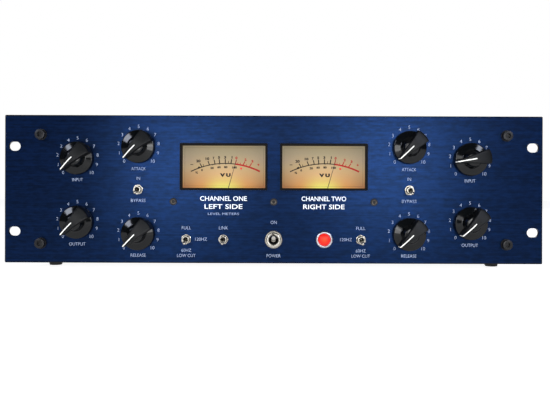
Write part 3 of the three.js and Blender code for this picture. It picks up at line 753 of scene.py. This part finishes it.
def on_card(points, card_face, middle):
    """Points of across, out and up in mm from a card's middle, as places in the scene."""
    return np.asarray(points) * MM * (CARD_SCALE, -1, CARD_SCALE) + (middle[0], card_face, middle[1])


def arc_strip(name, x0, x1, half, card_face, middle, material, lift=0.05):
    """A band along the scale's arc from x0 to x1, half its width each side, a film on the card."""
    across = np.linspace(x0, x1, 40)
    up = arc_height(across)
    lean = (across - ARC_MIDDLE) / ARC_RADIUS
    rings = []
    for side, out in ((-1, 0), (1, 0), (1, lift), (-1, lift)):
        rings.append(np.stack([across + side * half * lean, 0 * across + out, up + side * half], axis=-1))
    points = np.stack(rings, axis=1)
    ends = [np.repeat(cap.mean(0)[None, None], 4, axis=1) for cap in (points[0], points[-1])]
    points = np.concatenate([ends[0], points, ends[1]])
    return grid_mesh(name, on_card(points, card_face, middle), material)


def ticks(name, marks, card_face, middle, material):
    """Short bars standing on or hanging from the arc. Each mark is (x, start, end, half width) in mm, leaning
    as a line from the needle's pivot does."""
    all_points, all_faces = [], []
    for i, (across, start, end, half) in enumerate(marks):
        foot = arc_height(across)
        way = np.array([across, foot + PIVOT_DROP]) / np.hypot(across, foot + PIVOT_DROP)
        side = np.array([way[1], -way[0]]) * half
        base = np.array([across, foot])
        places = ((start, -1), (start, 1), (end, 1), (end, -1))
        corners = [base + way * reach + side * hand for reach, hand in places]
        for out in (0.0, 0.05):
            all_points += [(c[0], out, c[1]) for c in corners]
        k = 8 * i
        all_faces += [[k, k + 1, k + 2, k + 3], [k + 7, k + 6, k + 5, k + 4]]
        all_faces += [[k + j, k + 4 + j, k + 4 + (j + 1) % 4, k + (j + 1) % 4] for j in range(4)]
    mesh = bpy.data.meshes.new(name)
    mesh.from_pydata(on_card(all_points, card_face, middle).tolist(), [], all_faces)
    return finished(name, mesh, material=material)


black_print = plain("black_printing_ink", "#0e0a07", 0.8)
# The red ink gets a painted glow of the meter lamp's light.
glow = {"Emission_Color": "#a81410", "Emission_Strength": 0.6}
red_print = plain("red_ink_with_painted_glow", "#7c0f0a", 0.8, **glow)
glow = {"Emission_Color": "#cc1c14", "Emission_Strength": 0.8}
red_lamp = plain("lit_red_indicator", "#a01810", 0.3, **glow)
needle_black = plain("black_lacquered_pointer", "#15100c", 0.5)
case_black = plain("moulded_black_plastic", "#080605", 0.6, grit=0.1, Specular_IOR_Level=0.1)
window = {"Alpha": 0.04, "Specular_IOR_Level": 0.04}
clear = plain("clear_acrylic_window", "#20201e", 0.15, grit=0.0, **window)

# Each mark is (x, start, end, half width) from the arc, and each figure is (text, x, z, height, width), in
# mm.
BLACK_MARKS = [(-19.9, 0, 3.8, 0.42), (-18.0, 0.2, 2.2, 0.24), (-13.2, 0, 3.9, 0.42), (-8.2, 0, 3.9, 0.42)]
BLACK_MARKS += [(-4.1, 0, 4.0, 0.44), (0.9, 0, 3.9, 0.44), (3.6, 0, 2.4, 0.24), (6.0, 0, 4.0, 0.46)]
BLACK_MARKS += [(-22.4, -0.5, 1.2, 0.9), (-10.6, -1.0, 0, 0.16), (-4.6, -1.0, 0, 0.2), (1.5, -1.0, 0, 0.24)]
RED_MARKS = [(9.9, 0, 4.0, 0.4), (11.8, 0.4, 2.0, 0.24), (14.0, 0.4, 2.0, 0.24), (16.8, 0, 4.0, 0.42)]
RED_MARKS += [(19.3, 0.4, 2.2, 0.24), (22.3, 0, 4.2, 0.42)]
BLACK_FIGURES = [("-", -29.0, 2.0, 0.55, 2.6), ("20", -23.2, 5.2, 2.5, 3.9), ("10", -15.1, 7.3, 2.4, 3.4)]
BLACK_FIGURES += [("7", -9.6, 7.8, 2.4, 1.7), ("5", -4.7, 8.4, 2.4, 1.9), ("3", 0.8, 8.6, 2.4, 1.8)]
BLACK_FIGURES += [("1", 7.0, 8.6, 2.4, 0.8), ("0", -19.9, -2.9, 2.1, 1.5), ("%", -24.7, -5.2, 2.0, 2.4)]
BLACK_FIGURES += [("20", -10.9, -1.0, 2.1, 3.1), ("60", -4.7, -0.3, 2.1, 3.1), ("80", 1.4, -0.2, 2.1, 3.1)]
BLACK_FIGURES += [("100", 9.2, -0.5, 2.1, 4.2)]
RED_FIGURES = [("0", 10.9, 8.1, 2.4, 1.9), ("2", 19.1, 6.5, 2.3, 1.8), ("3", 25.2, 5.1, 2.3, 1.8)]
RED_FIGURES += [("+", 30.7, 2.0, 1.9, 1.9)]
# Half the width and height of the painted shade line on the card, in mm.
SHADE_LINE = (35.7, 17.3)
NEEDLE_REST = 15.7


def needle_points(pivot):
    """A flat tapering blade with a square tail, its sides drawing in evenly from the hub to the tip."""
    stations = [(-4.6, 0.0), (-4.6, 1.0), (0, 0.9), (4, 0.36), (30, 0.22), (41.4, 0.1), (41.4, 0.0)]
    angle = np.radians(NEEDLE_REST)
    along = np.array([np.sin(angle), 0, np.cos(angle)])
    side = np.array([np.cos(angle), 0, -np.sin(angle)])
    rows = []
    for reach, half in stations:
        middle = np.array(pivot) + along * reach * MM
        lift = 0.17 * MM if half else 0.0
        corners = [(half, -lift), (half, lift), (-half, lift), (-half, -lift)]
        rows.append([middle + side * wide * MM + np.array([0, deep, 0]) for wide, deep in corners])
    return np.array(rows)


for side in SIDES:
    middle = centre_of(f"meter_window_{side}")
    card_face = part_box(f"meter_dial_{side}")[0].y
    paint(f"meter_dial_{side}", card_light(*middle))
    paint(f"meter_window_{side}", clear)
    paint(f"meter_case_{side}", case_black)
    black_arc = arc_strip(f"vu_arc_{side}", -29.9, 9.9, 0.42, card_face, middle, black_print)
    settle(black_arc, "dial_ink")
    red_arc = arc_strip(f"vu_over_arc_{side}", 9.9, 32.0, 0.68, card_face, middle, red_print, lift=0.06)
    settle(red_arc, "dial_ink")
    settle(ticks(f"vu_marks_{side}", BLACK_MARKS, card_face, middle, black_print), "dial_ink")
    settle(ticks(f"vu_over_marks_{side}", RED_MARKS, card_face, middle, red_print), "dial_ink")
    for name, figures, colour in (("", BLACK_FIGURES, black_print), ("over_", RED_FIGURES, red_print)):
        words = []
        for text, across, up, tall, wide in figures:
            place = (middle[0] + across * CARD_SCALE * MM, middle[1] + up * CARD_SCALE * MM)
            words.append((text, *place, tall * MM, wide * MM))
        printing(f"vu_{name}figures_{side}", words, colour, card_face, weight=0.05, slot="dial_ink")
    words = [("V U", middle[0] + 1.0 * MM, middle[1] - 7.4 * MM, 3.3 * MM, 9.8 * MM)]
    printing(f"vu_letters_{side}", words, black_print, card_face, weight=0.08, slot="dial_ink")
    profile = [(0, -0.1), (0.95, -0.1), (0.95, 0.2), (0.7, 0.42), (0, 0.5)]
    spot = (middle[0] + 15.3 * MM, middle[1] - 1.4 * MM)
    lamp = turned(f"vu_peak_lamp_{side}", profile, *spot, red_lamp, 24, card_face)
    settle(lamp, "red_lens")
    # Painted shade: a thin dark line a little inside the window's edge, drawn in the black ink.
    wide, tall = SHADE_LINE
    corners = [(-wide, -tall), (wide, -tall), (wide, tall), (-wide, tall)]
    rows = []
    for grow, out in ((0, 0), (-0.13, 0), (-0.13, 0.03), (0, 0.03), (0, 0)):
        rows.append([(x - np.sign(x) * grow, out, z - np.sign(z) * grow) for x, z in corners])
    points = np.array(rows) * MM * (1, -1, 1) + (middle[0], card_face, middle[1])
    settle(grid_mesh(f"vu_painted_shade_line_{side}", points, black_print), "dial_ink")
    pivot = pivot_of(f"meter_swing_{side}")
    pivot.y = middle_of(f"meter_needle_{side}").y
    needle = grid_mesh(f"vu_pointer_{side}", needle_points(pivot), needle_black)
    settle(needle, "black_plastic", f"meter_needle_{side}", body=f"meter_needle_{side}")
    hub = [(0, -0.5), (2.2, -0.5), (2.2, 0.1), (1.6, 0.5), (0, 0.55)]
    boss = turned(f"vu_pointer_hub_{side}", hub, pivot.x, pivot.z, brass, 32, pivot.y)
    settle(boss, "brass", body=f"meter_needle_{side}")

# ---------- channel names and panel screws ----------
# Bolder white printing under each meter names its channel. Four black cap screws on washers fix the panel
# to the case, and three flat ones hold the meter bracket behind it.
bright_ink = plain("bright_white_printing_ink", "#eef2f6", 0.6)
pale_ink = plain("pale_blue_printing_ink", "#8f9fc0", 0.6)
NAMES = {
    "left": (-45.0, [("CHANNEL ONE", -8.2, 42.0), ("LEFT SIDE", -15.4, 34.0)]),
    "right": (45.0, [("CHANNEL TWO", -8.2, 40.0), ("RIGHT SIDE", -15.4, 37.0)]),
}
for side, (across, lines) in NAMES.items():
    words = []
    for text, up, width in lines:
        words.append((text, across * MM, panel_middle.z + up * MM, 4.2 * MM, width * MM))
    printing(f"channel_name_{side}", words, bright_ink, panel_face, weight=0.008)
words = [("LEVEL METERS", -45.0 * MM, panel_middle.z - 21.9 * MM, 2.0 * MM, 28.0 * MM)]
printing("meter_note", words, pale_ink, panel_face)

oxide = plated("black_oxide_steel", "#2a2a2b", 0.38, metallic=0.85)
browned = plated("browned_steel", "#625c56", 0.35)


def cap_screw(name, radius, tall, socket, x, z, turn, material, foot=0.0, deep=0.55):
    """A socket-head screw: a round head with a softened rim and a hexagon socket, deep as a share of it."""
    hole = hexagon(socket)
    top = foot + tall
    floor_at = top - tall * deep
    rows = [(0, foot), (radius, foot), (radius, top - 0.45), (radius - 0.13, top - 0.13)]
    rows += [(radius - 0.45, top), (hole + 0.12, top), (hole, top - 0.12), (hole, floor_at), (0, floor_at)]
    return turned(name, rows, x, z, material, 96, turn=turn, smooth=30.0)


PANEL_SCREW = (208.6, 48.7)
PANEL_WASHER = [(2.6, 0.02), (4.9, 0.02), (5.05, 0.3), (4.95, 0.85), (2.6, 0.85), (2.6, 0.02)]
for side, hand in (("left", -1), ("right", 1)):
    for row, way in (("low", -1), ("high", 1)):
        across, up = hand * PANEL_SCREW[0], way * PANEL_SCREW[1]
        x, z = across * MM, panel_middle.z + up * MM
        washer = turned(f"panel_washer_{row}_{side}", PANEL_WASHER, x, z, oxide)
        settle(washer, "black_steel")
        turn = 0.6 * across + 1.3 * up
        screw = cap_screw(f"panel_screw_{row}_{side}", 4.45, 4.2, 4.0, x, z, turn, oxide, foot=0.87)
        settle(screw, "black_steel")
BRACKET_SCREW_PITCH = 90.0
BRACKET_SCREW_DROP = 11.1
BRACKET_WASHER = [(2.25, 0.02), (3.3, 0.02), (3.3, 0.4), (3.1, 0.62), (2.3, 0.45), (2.25, 0.02)]
BRACKET_COLLAR = [(1.45, 0.02), (2.2, 0.02), (2.2, 0.6), (2.0, 0.8), (1.6, 0.7), (1.45, 0.02)]
for i in range(3):
    x, z = (i - 1) * BRACKET_SCREW_PITCH * MM, panel_middle.z - BRACKET_SCREW_DROP * MM
    settle(turned(f"bracket_washer_{i + 1}", BRACKET_WASHER, x, z, oxide), "black_steel")
    settle(turned(f"bracket_collar_{i + 1}", BRACKET_COLLAR, x, z, browned), "black_steel")
    turn = 20.0 + 31.0 * i
    screw = cap_screw(f"bracket_screw_{i + 1}", 1.4, 0.7, 1.6, x, z, turn, oxide, foot=0.03, deep=0.8)
    settle(screw, "black_steel")

# ---------- case and feet ----------
# Folded sheet steel with black powder coat: tray with its rear panel, and a vented cover. Pan-head screws
# hold the cover and the rear panel, and four tapered rubber feet are screwed on from below.
def powder_coat(name, dark, light):
    """Polyester powder on steel: an orange-peel surface with a soft sheen and a little variation in depth."""
    material, tree, shader = finish_of(name, Roughness=0.48)
    peel = speckle(tree, 0.9, 3.0)
    shaded(tree, shader, speckle(tree, 35, 2.0), dark, light)
    roughened(tree, shader, peel, 0.4, 0.58)
    embossed(tree, shader, peel, 0.35, 0.12 * MM)
    return material


def upright(name, profile, x, y, material, foot=0.0, segments=48):
    """A profile of [radius, height] in mm turned round an upright line at x, y. Its heights start at foot,
    which is in mm over the floor."""
    profile = (np.asarray(profile, float) + (0, foot)) * MM
    turn = np.linspace(0, 2 * np.pi, segments, endpoint=False)
    high = np.repeat(profile[:, 1:], segments, axis=1)
    across, along = profile[:, :1] * np.cos(turn), profile[:, :1] * np.sin(turn)
    return grid_mesh(name, np.stack([x + across, y + along, high], axis=-1), material=material)


black_coat = powder_coat("black_powder_coated_steel", "#131416", "#1b1c1f")
for node in ("chassis_tray", "rear_panel", "top_cover"):
    paint(node, black_coat)
paint("meter_bracket", zinc)

rubber = plain("moulded_black_rubber", "#121212", 0.75, grit=0.3, cell=0.4)
FOOT = [(0, 2.4), (2.9, 2.4), (3.0, 0.0), (5.3, 0.0), (5.8, 0.5), (6.1, 3.0)]
FOOT += [(6.6, 7.0), (6.6, 7.74), (0, 7.74)]
FOOT_SCREW = [(0, 1.3), (0.9, 1.3), (1.0, 0.9), (2.2, 0.9), (2.6, 1.5), (2.6, 2.38), (0, 2.38)]
for end in ("front", "rear"):
    for side in SIDES:
        middle = middle_of(f"foot_{end}_{side}")
        foot = upright(f"rubber_foot_{end}_{side}", FOOT, middle.x, middle.y, rubber)
        settle(foot, "rubber", f"foot_{end}_{side}")
        head = upright(f"foot_screw_{end}_{side}", FOOT_SCREW, middle.x, middle.y, zinc)
        settle(head, "plated_steel")


def pan_screw(name, place, out, material, radius=2.75, tall=1.7, turn=0.0):
    """A domed screw head with a six-lobed recess, standing on place along out. The recess's radius swings
    0.95 + 0.22 cos(6 angle) mm."""
    out = np.array(out, float)
    across = np.cross(out, (0.37, 0.61, 0.70))
    across /= np.linalg.norm(across)
    beside = np.cross(out, across)
    way = np.linspace(0, 2 * np.pi, 48, endpoint=False) + turn
    lobes = 0.95 + 0.22 * np.cos(6 * way)
    rows = [(0, 0), (radius, 0), (radius, 0.35)]
    rows += [(radius * np.cos(a), 0.35 + (tall - 0.35) * np.sin(a)) for a in np.radians((20, 40, 55))]
    rows += [(lobes + 0.1, tall - 0.12), (lobes, tall - 0.25), (lobes, 0.5), (0, 0.4)]
    spokes = np.cos(way)[:, None] * across + np.sin(way)[:, None] * beside
    points = []
    for ring, high in rows:
        spread = np.broadcast_to(ring, 48)[:, None] * spokes
        points.append(np.array(place) + (spread + out * high) * MM)
    return grid_mesh(name, np.array(points), smooth=30.0, material=material)


cover_low, cover_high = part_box("top_cover")
for i, y in enumerate((cover_low.y + 0.02, (cover_low.y + cover_high.y) / 2, cover_high.y - 0.014)):
    for side, x in (("left", cover_low.x + 0.0075), ("right", cover_high.x - 0.0075)):
        place = (x, y, cover_high.z)
        screw = pan_screw(f"cover_screw_{i + 1}_{side}", place, (0, 0, 1), oxide, turn=i + x * 9)
        settle(screw, "black_steel")
rear_low, rear_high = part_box("rear_panel")
rear_face = rear_high.y
for i, z in enumerate((rear_low.z + 0.008, rear_high.z - 0.010)):
    for name, x in (("left", rear_low.x + 0.008), ("middle", 0.0), ("right", rear_high.x - 0.008)):
        screw = pan_screw(f"rear_screw_{i + 1}_{name}", (x, rear_face, z), (0, 1, 0), oxide, turn=i + x * 7)
        settle(screw, "black_steel")

# ---------- rear connectors ----------
# Balanced inputs have a black insert with three sprung gold sleeves and a release tab, outputs have three
# gold pins, and the mains inlet has three blades. Screws fix each to the rear panel, and printing names it.
gold = plated("gold_plated_contact", "#d8b25a", 0.25)
dark_flange = plated("black_chromed_zinc", "#26272a", 0.36, metallic=0.8)
insert_black = plain("glass_filled_black_nylon", "#17181a", 0.5, grit=0.25)
PIN_CIRCLE = 4.2
SMALL_LETTER = 2.6 * MM


def carried(name, outline, steps, x, z, face, material):
    """An outline in mm carried out of the rear. Each step is (share of its size, h)."""
    rows = []
    for grow, out in steps:
        rows.append([(x + a * grow * MM, face + out * MM, z + b * grow * MM) for a, b in outline])
    return grid_mesh(name, np.array(rows), material)


for kind in ("input", "output"):
    for side in SIDES:
        jack = f"{kind}_jack_{side}"
        x, z = centre_of(jack)
        flange_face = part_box(jack)[1].y
        paint(jack, dark_flange)
        for name, across, up in (("low", 1, -1), ("high", -1, 1)):
            place = (x + 9.8 * across * MM, rear_face + 2.02 * MM, z + 12.3 * up * MM)
            head = pan_screw(f"{jack}_screw_{name}", place, (0, 1, 0), zinc, radius=2.3, tall=0.95, turn=up)
            settle(head, "plated_steel")
        for i, angle in enumerate(np.radians((150, 30, 270))):
            px, pz = x + PIN_CIRCLE * np.cos(angle) * MM, z + PIN_CIRCLE * np.sin(angle) * MM
            if kind == "output":
                rows = [(0, -13.9), (1.2, -13.9), (1.2, -3.4), (1.1, -2.7), (0.75, -2.15), (0, -2.0)]
            else:
                rows = [(1.0, -9.9), (1.5, -9.9), (1.5, -0.5), (1.3, -0.3), (1.0, -0.5), (1.0, -9.9)]
            pin = turned(f"{jack}_contact_{i + 1}", rows, px, pz, gold, 20, flange_face, back=True)
            settle(pin, "brass")
        if kind == "output":
            rim = [(0, -13.98), (9.25, -13.98), (9.25, -13.0), (8.8, -12.8), (0, -12.8)]
            disc = turned(f"{jack}_insulator", rim, x, z, insert_black, 64, flange_face, back=True)
            settle(disc, "black_plastic")
        else:
            rim = [(8.05, -9.9), (8.3, -9.9), (8.3, -0.5), (8.18, 0.0), (8.05, -0.3), (8.05, -9.9)]
            ring = turned(f"{jack}_ring", rim, x, z, insert_black, 64, flange_face, back=True)
            settle(ring, "black_plastic")
            outline = softened([(-3.4, -1.6), (3.4, -1.6), (3.0, 1.5), (-3.0, 1.5)], 0.7, closed=True)
            steps = ((0, -0.6), (1, -0.6), (1, 0.35), (0.86, 0.6), (0, 0.6))
            tab = (f"{jack}_release_tab", outline, steps, x, z + 12.4 * MM, flange_face, insert_black)
            settle(carried(*tab), "black_plastic")

inlet_x, inlet_z = centre_of("mains_inlet")
inlet_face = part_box("mains_inlet")[1].y
paint("mains_inlet", insert_black)
outline = softened([(-1.0, -2.0), (1.0, -2.0), (1.0, 2.0), (-1.0, 2.0)], 0.35, steps=3, closed=True)
steps = ((0, -15.9), (1, -15.9), (1, -3.4), (0.75, -2.5), (0.5, -2.2), (0, -2.2))
for name, across, up in (("earth", 0, 2.6), ("line", -6.6, -1.6), ("neutral", 6.6, -1.6)):
    place = (inlet_x + across * MM, inlet_z + up * MM, inlet_face)
    settle(carried(f"inlet_{name}", outline, steps, *place, nickel), "nickel")
for name, across in (("left", -20.3), ("right", 20.3)):
    place = (inlet_x + across * MM, inlet_face - 0.35 * MM, inlet_z)
    head = pan_screw(f"inlet_screw_{name}", place, (0, 1, 0), zinc, radius=2.4, tall=0.33, turn=across)
    settle(head, "plated_steel")

words = []
for kind in ("input", "output"):
    for side in SIDES:
        jack = f"{kind}_jack_{side}"
        x, top = middle_of(jack).x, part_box(jack)[1].z
        words.append((side.upper(), x, top + 0.005, SMALL_LETTER, None))
        words.append((kind.upper(), x, top + 0.0095, SMALL_LETTER, None))
words.append(("MAINS 230 V  50 HZ  40 VA", inlet_x, inlet_z + 0.0205, SMALL_LETTER, None))
words.append(("DISCONNECT BEFORE OPENING", 0.055, inlet_z + 0.002, SMALL_LETTER, None))
printing("rear_words", words, white_ink, rear_face, weight=FINE, back=True)

# ---------- inside ----------
# A taped toroid under a zinc-plated clamp, two laminated transformers, a green board with capacitors, four
# glass valves in black sockets, and the bodies behind the controls. The wiring is left out.
def wound_tape():
    """Amber polyester tape wound round a ring: overlapping edges show as lines across the winding."""
    varnish = {"Coat_Weight": 0.3, "Coat_Roughness": 0.1}
    material, tree, shader = finish_of("wound_polyester_tape", Roughness=0.3, **varnish)
    shaded(tree, shader, speckle(tree, 6, 2.0), "#7a4a12", "#b9832e")
    return material


def stacked_steel():
    """Silicon-steel laminations: thin light and dark lines along the stack, half a millimetre apart."""
    material, tree, shader = finish_of("stacked_steel_laminations", Metallic=0.7, Roughness=0.45)
    place = add(tree, "ShaderNodeTexCoord").outputs["Object"]
    lines = add(tree, "ShaderNodeTexWave", {"Vector": place, "Scale": 1 / (3.2 * MM), "Distortion": 0.4})
    shaded(tree, shader, lines.outputs["Fac"], "#2c2e31", "#6d7074")
    return material


def solder_mask():
    """A board's green mask over glass cloth, with copper tracks showing as paler lines."""
    material, tree, shader = finish_of("green_solder_mask", Roughness=0.35)
    place = add(tree, "ShaderNodeTexCoord").outputs["Object"]
    greens = {"Color1": linear("#0e3a22"), "Color2": linear("#11422a"), "Mortar": linear("#2c7a4c")}
    size = {"Vector": place, "Scale": 1 / (22 * MM), "Mortar Size": 0.03}
    tracks = add(tree, "ShaderNodeTexBrick", {**size, **greens})
    tree.links.new(tracks.outputs["Color"], shader.inputs["Base Color"])
    return material


tape, lamination, mask = wound_tape(), stacked_steel(), solder_mask()
paint("main_board", mask)
core = middle_of("mains_transformer")
RING_MIDDLE, RING_HALF, RING_TALL = 31.0, 18.6, 22.6
turn = np.linspace(0, 2 * np.pi, 240, endpoint=False)
section = np.linspace(0, 2 * np.pi, 33)[:-1]
ripple = 1 + 0.012 * np.cos(turn * 60)
out = np.sign(np.cos(section)) * np.abs(np.cos(section)) ** 0.7 * RING_HALF
up = np.sign(np.sin(section)) * np.abs(np.sin(section)) ** 0.7 * RING_TALL
radius = RING_MIDDLE + out[:, None] * ripple
across, along = core.x + radius * np.cos(turn) * MM, core.y + radius * np.sin(turn) * MM
points = np.stack([across, along, core.z + up[:, None] * ripple * MM], axis=-1)
points = np.concatenate([points, points[:1]])
coil = grid_mesh("toroid_winding", points, material=tape, smooth=60.0)
settle(coil, "winding_tape", "mains_transformer")
rim = [(0, 9.4), (12.0, 9.4), (12.0, 53.5), (22.0, 53.9)]
rim += [(22.0, 54.6), (4.0, 54.8), (4.0, 55.3), (0, 55.3)]
settle(upright("toroid_clamp", rim, core.x, core.y, zinc), "plated_steel")
for side in SIDES:
    paint(f"output_transformer_{side}", lamination)

glass = plain("valve_glass", "#1c1a18", 0.04, grit=0.0, Alpha=0.22)
getter = plated("silver_getter_film", "#7c7f86", 0.15)
anode = plated("grey_carbonised_plate", "#3a3b3d", 0.55, metallic=0.6)
mica = plain("mica_spacer", "#b9b2a2", 0.5)
low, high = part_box("tube_1")
foot, tall = low.z / MM, (high.z - low.z) / MM
socket = [(0, 0.2), (9.9, 0.2), (9.9, 7), (9.2, 8), (8.6, 8), (8.6, 5), (0, 5)]
bulb = [(0, 5.2), (8.3, 5.4), (8.5, 7), (8.5, tall - 7)]
bulb += [(8.5 * np.cos(a), tall - 7 + 5.2 * np.sin(a)) for a in np.linspace(0.2, 1.4, 6)]
bulb += [(1.1, tall - 1.5), (0.9, tall - 0.2), (0, tall - 0.05)]
film = [(0, tall - 2.6), (7.3, tall - 4.6), (8.1, tall - 8.5)]
film += [(8.0, tall - 8.5), (7.1, tall - 5), (0, tall - 3)]
VALVE = [
    ("socket", socket, insert_black, "black_plastic"),
    ("bulb", bulb, glass, "tube_glass"),
    ("getter", film, getter, "nickel"),
    ("anode", [(0, 13), (5.2, 13), (5.2, tall - 14), (0, tall - 14)], anode, "plated_steel"),
]
for name, level in (("low", 12.4), ("high", tall - 13.9)):
    disc = [(0, level), (7.8, level), (7.8, level + 0.5), (0, level + 0.5)]
    VALVE.append((f"mica_{name}", disc, mica, "clear_plastic"))
for i in range(1, 5):
    middle = middle_of(f"tube_{i}")
    for part, profile, material, slot in VALVE:
        segments = 8 if part == "anode" else 48
        piece = upright(f"valve_{part}_{i}", profile, middle.x, middle.y, material, foot, segments)
        settle(piece, slot, *([f"tube_{i}"] if part == "bulb" else []))

board_low, board_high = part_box("main_board")
sleeve_blue = plain("printed_capacitor_sleeve", "#1d2c4c", 0.35)
can_top = plated("aluminium_can", "#c3c6ca", 0.3)
CAPACITOR = [(0, 0.05), (7.6, 0.05), (7.6, 2.2), (7.2, 3), (7.6, 3.8), (7.6, 30), (7.2, 30.6), (0, 30.6)]
CAPACITOR_TOP = [(0, 30.62), (6.8, 30.62), (6.6, 31.0), (0, 30.9)]
for i in range(6):
    place = (board_low.x + (20 + 30 * i) * MM, board_high.y - 18 * MM)
    body = upright(f"capacitor_{i + 1}", CAPACITOR, *place, sleeve_blue, board_high.z / MM)
    settle(body, "black_plastic")
    top = upright(f"capacitor_top_{i + 1}", CAPACITOR_TOP, *place, can_top, board_high.z / MM)
    settle(top, "plated_steel")

for node in nodes:
    if node.endswith(("_pot_left", "_pot_right")):
        paint(node, zinc)
    if node.endswith("_switch"):
        paint(node, nickel)
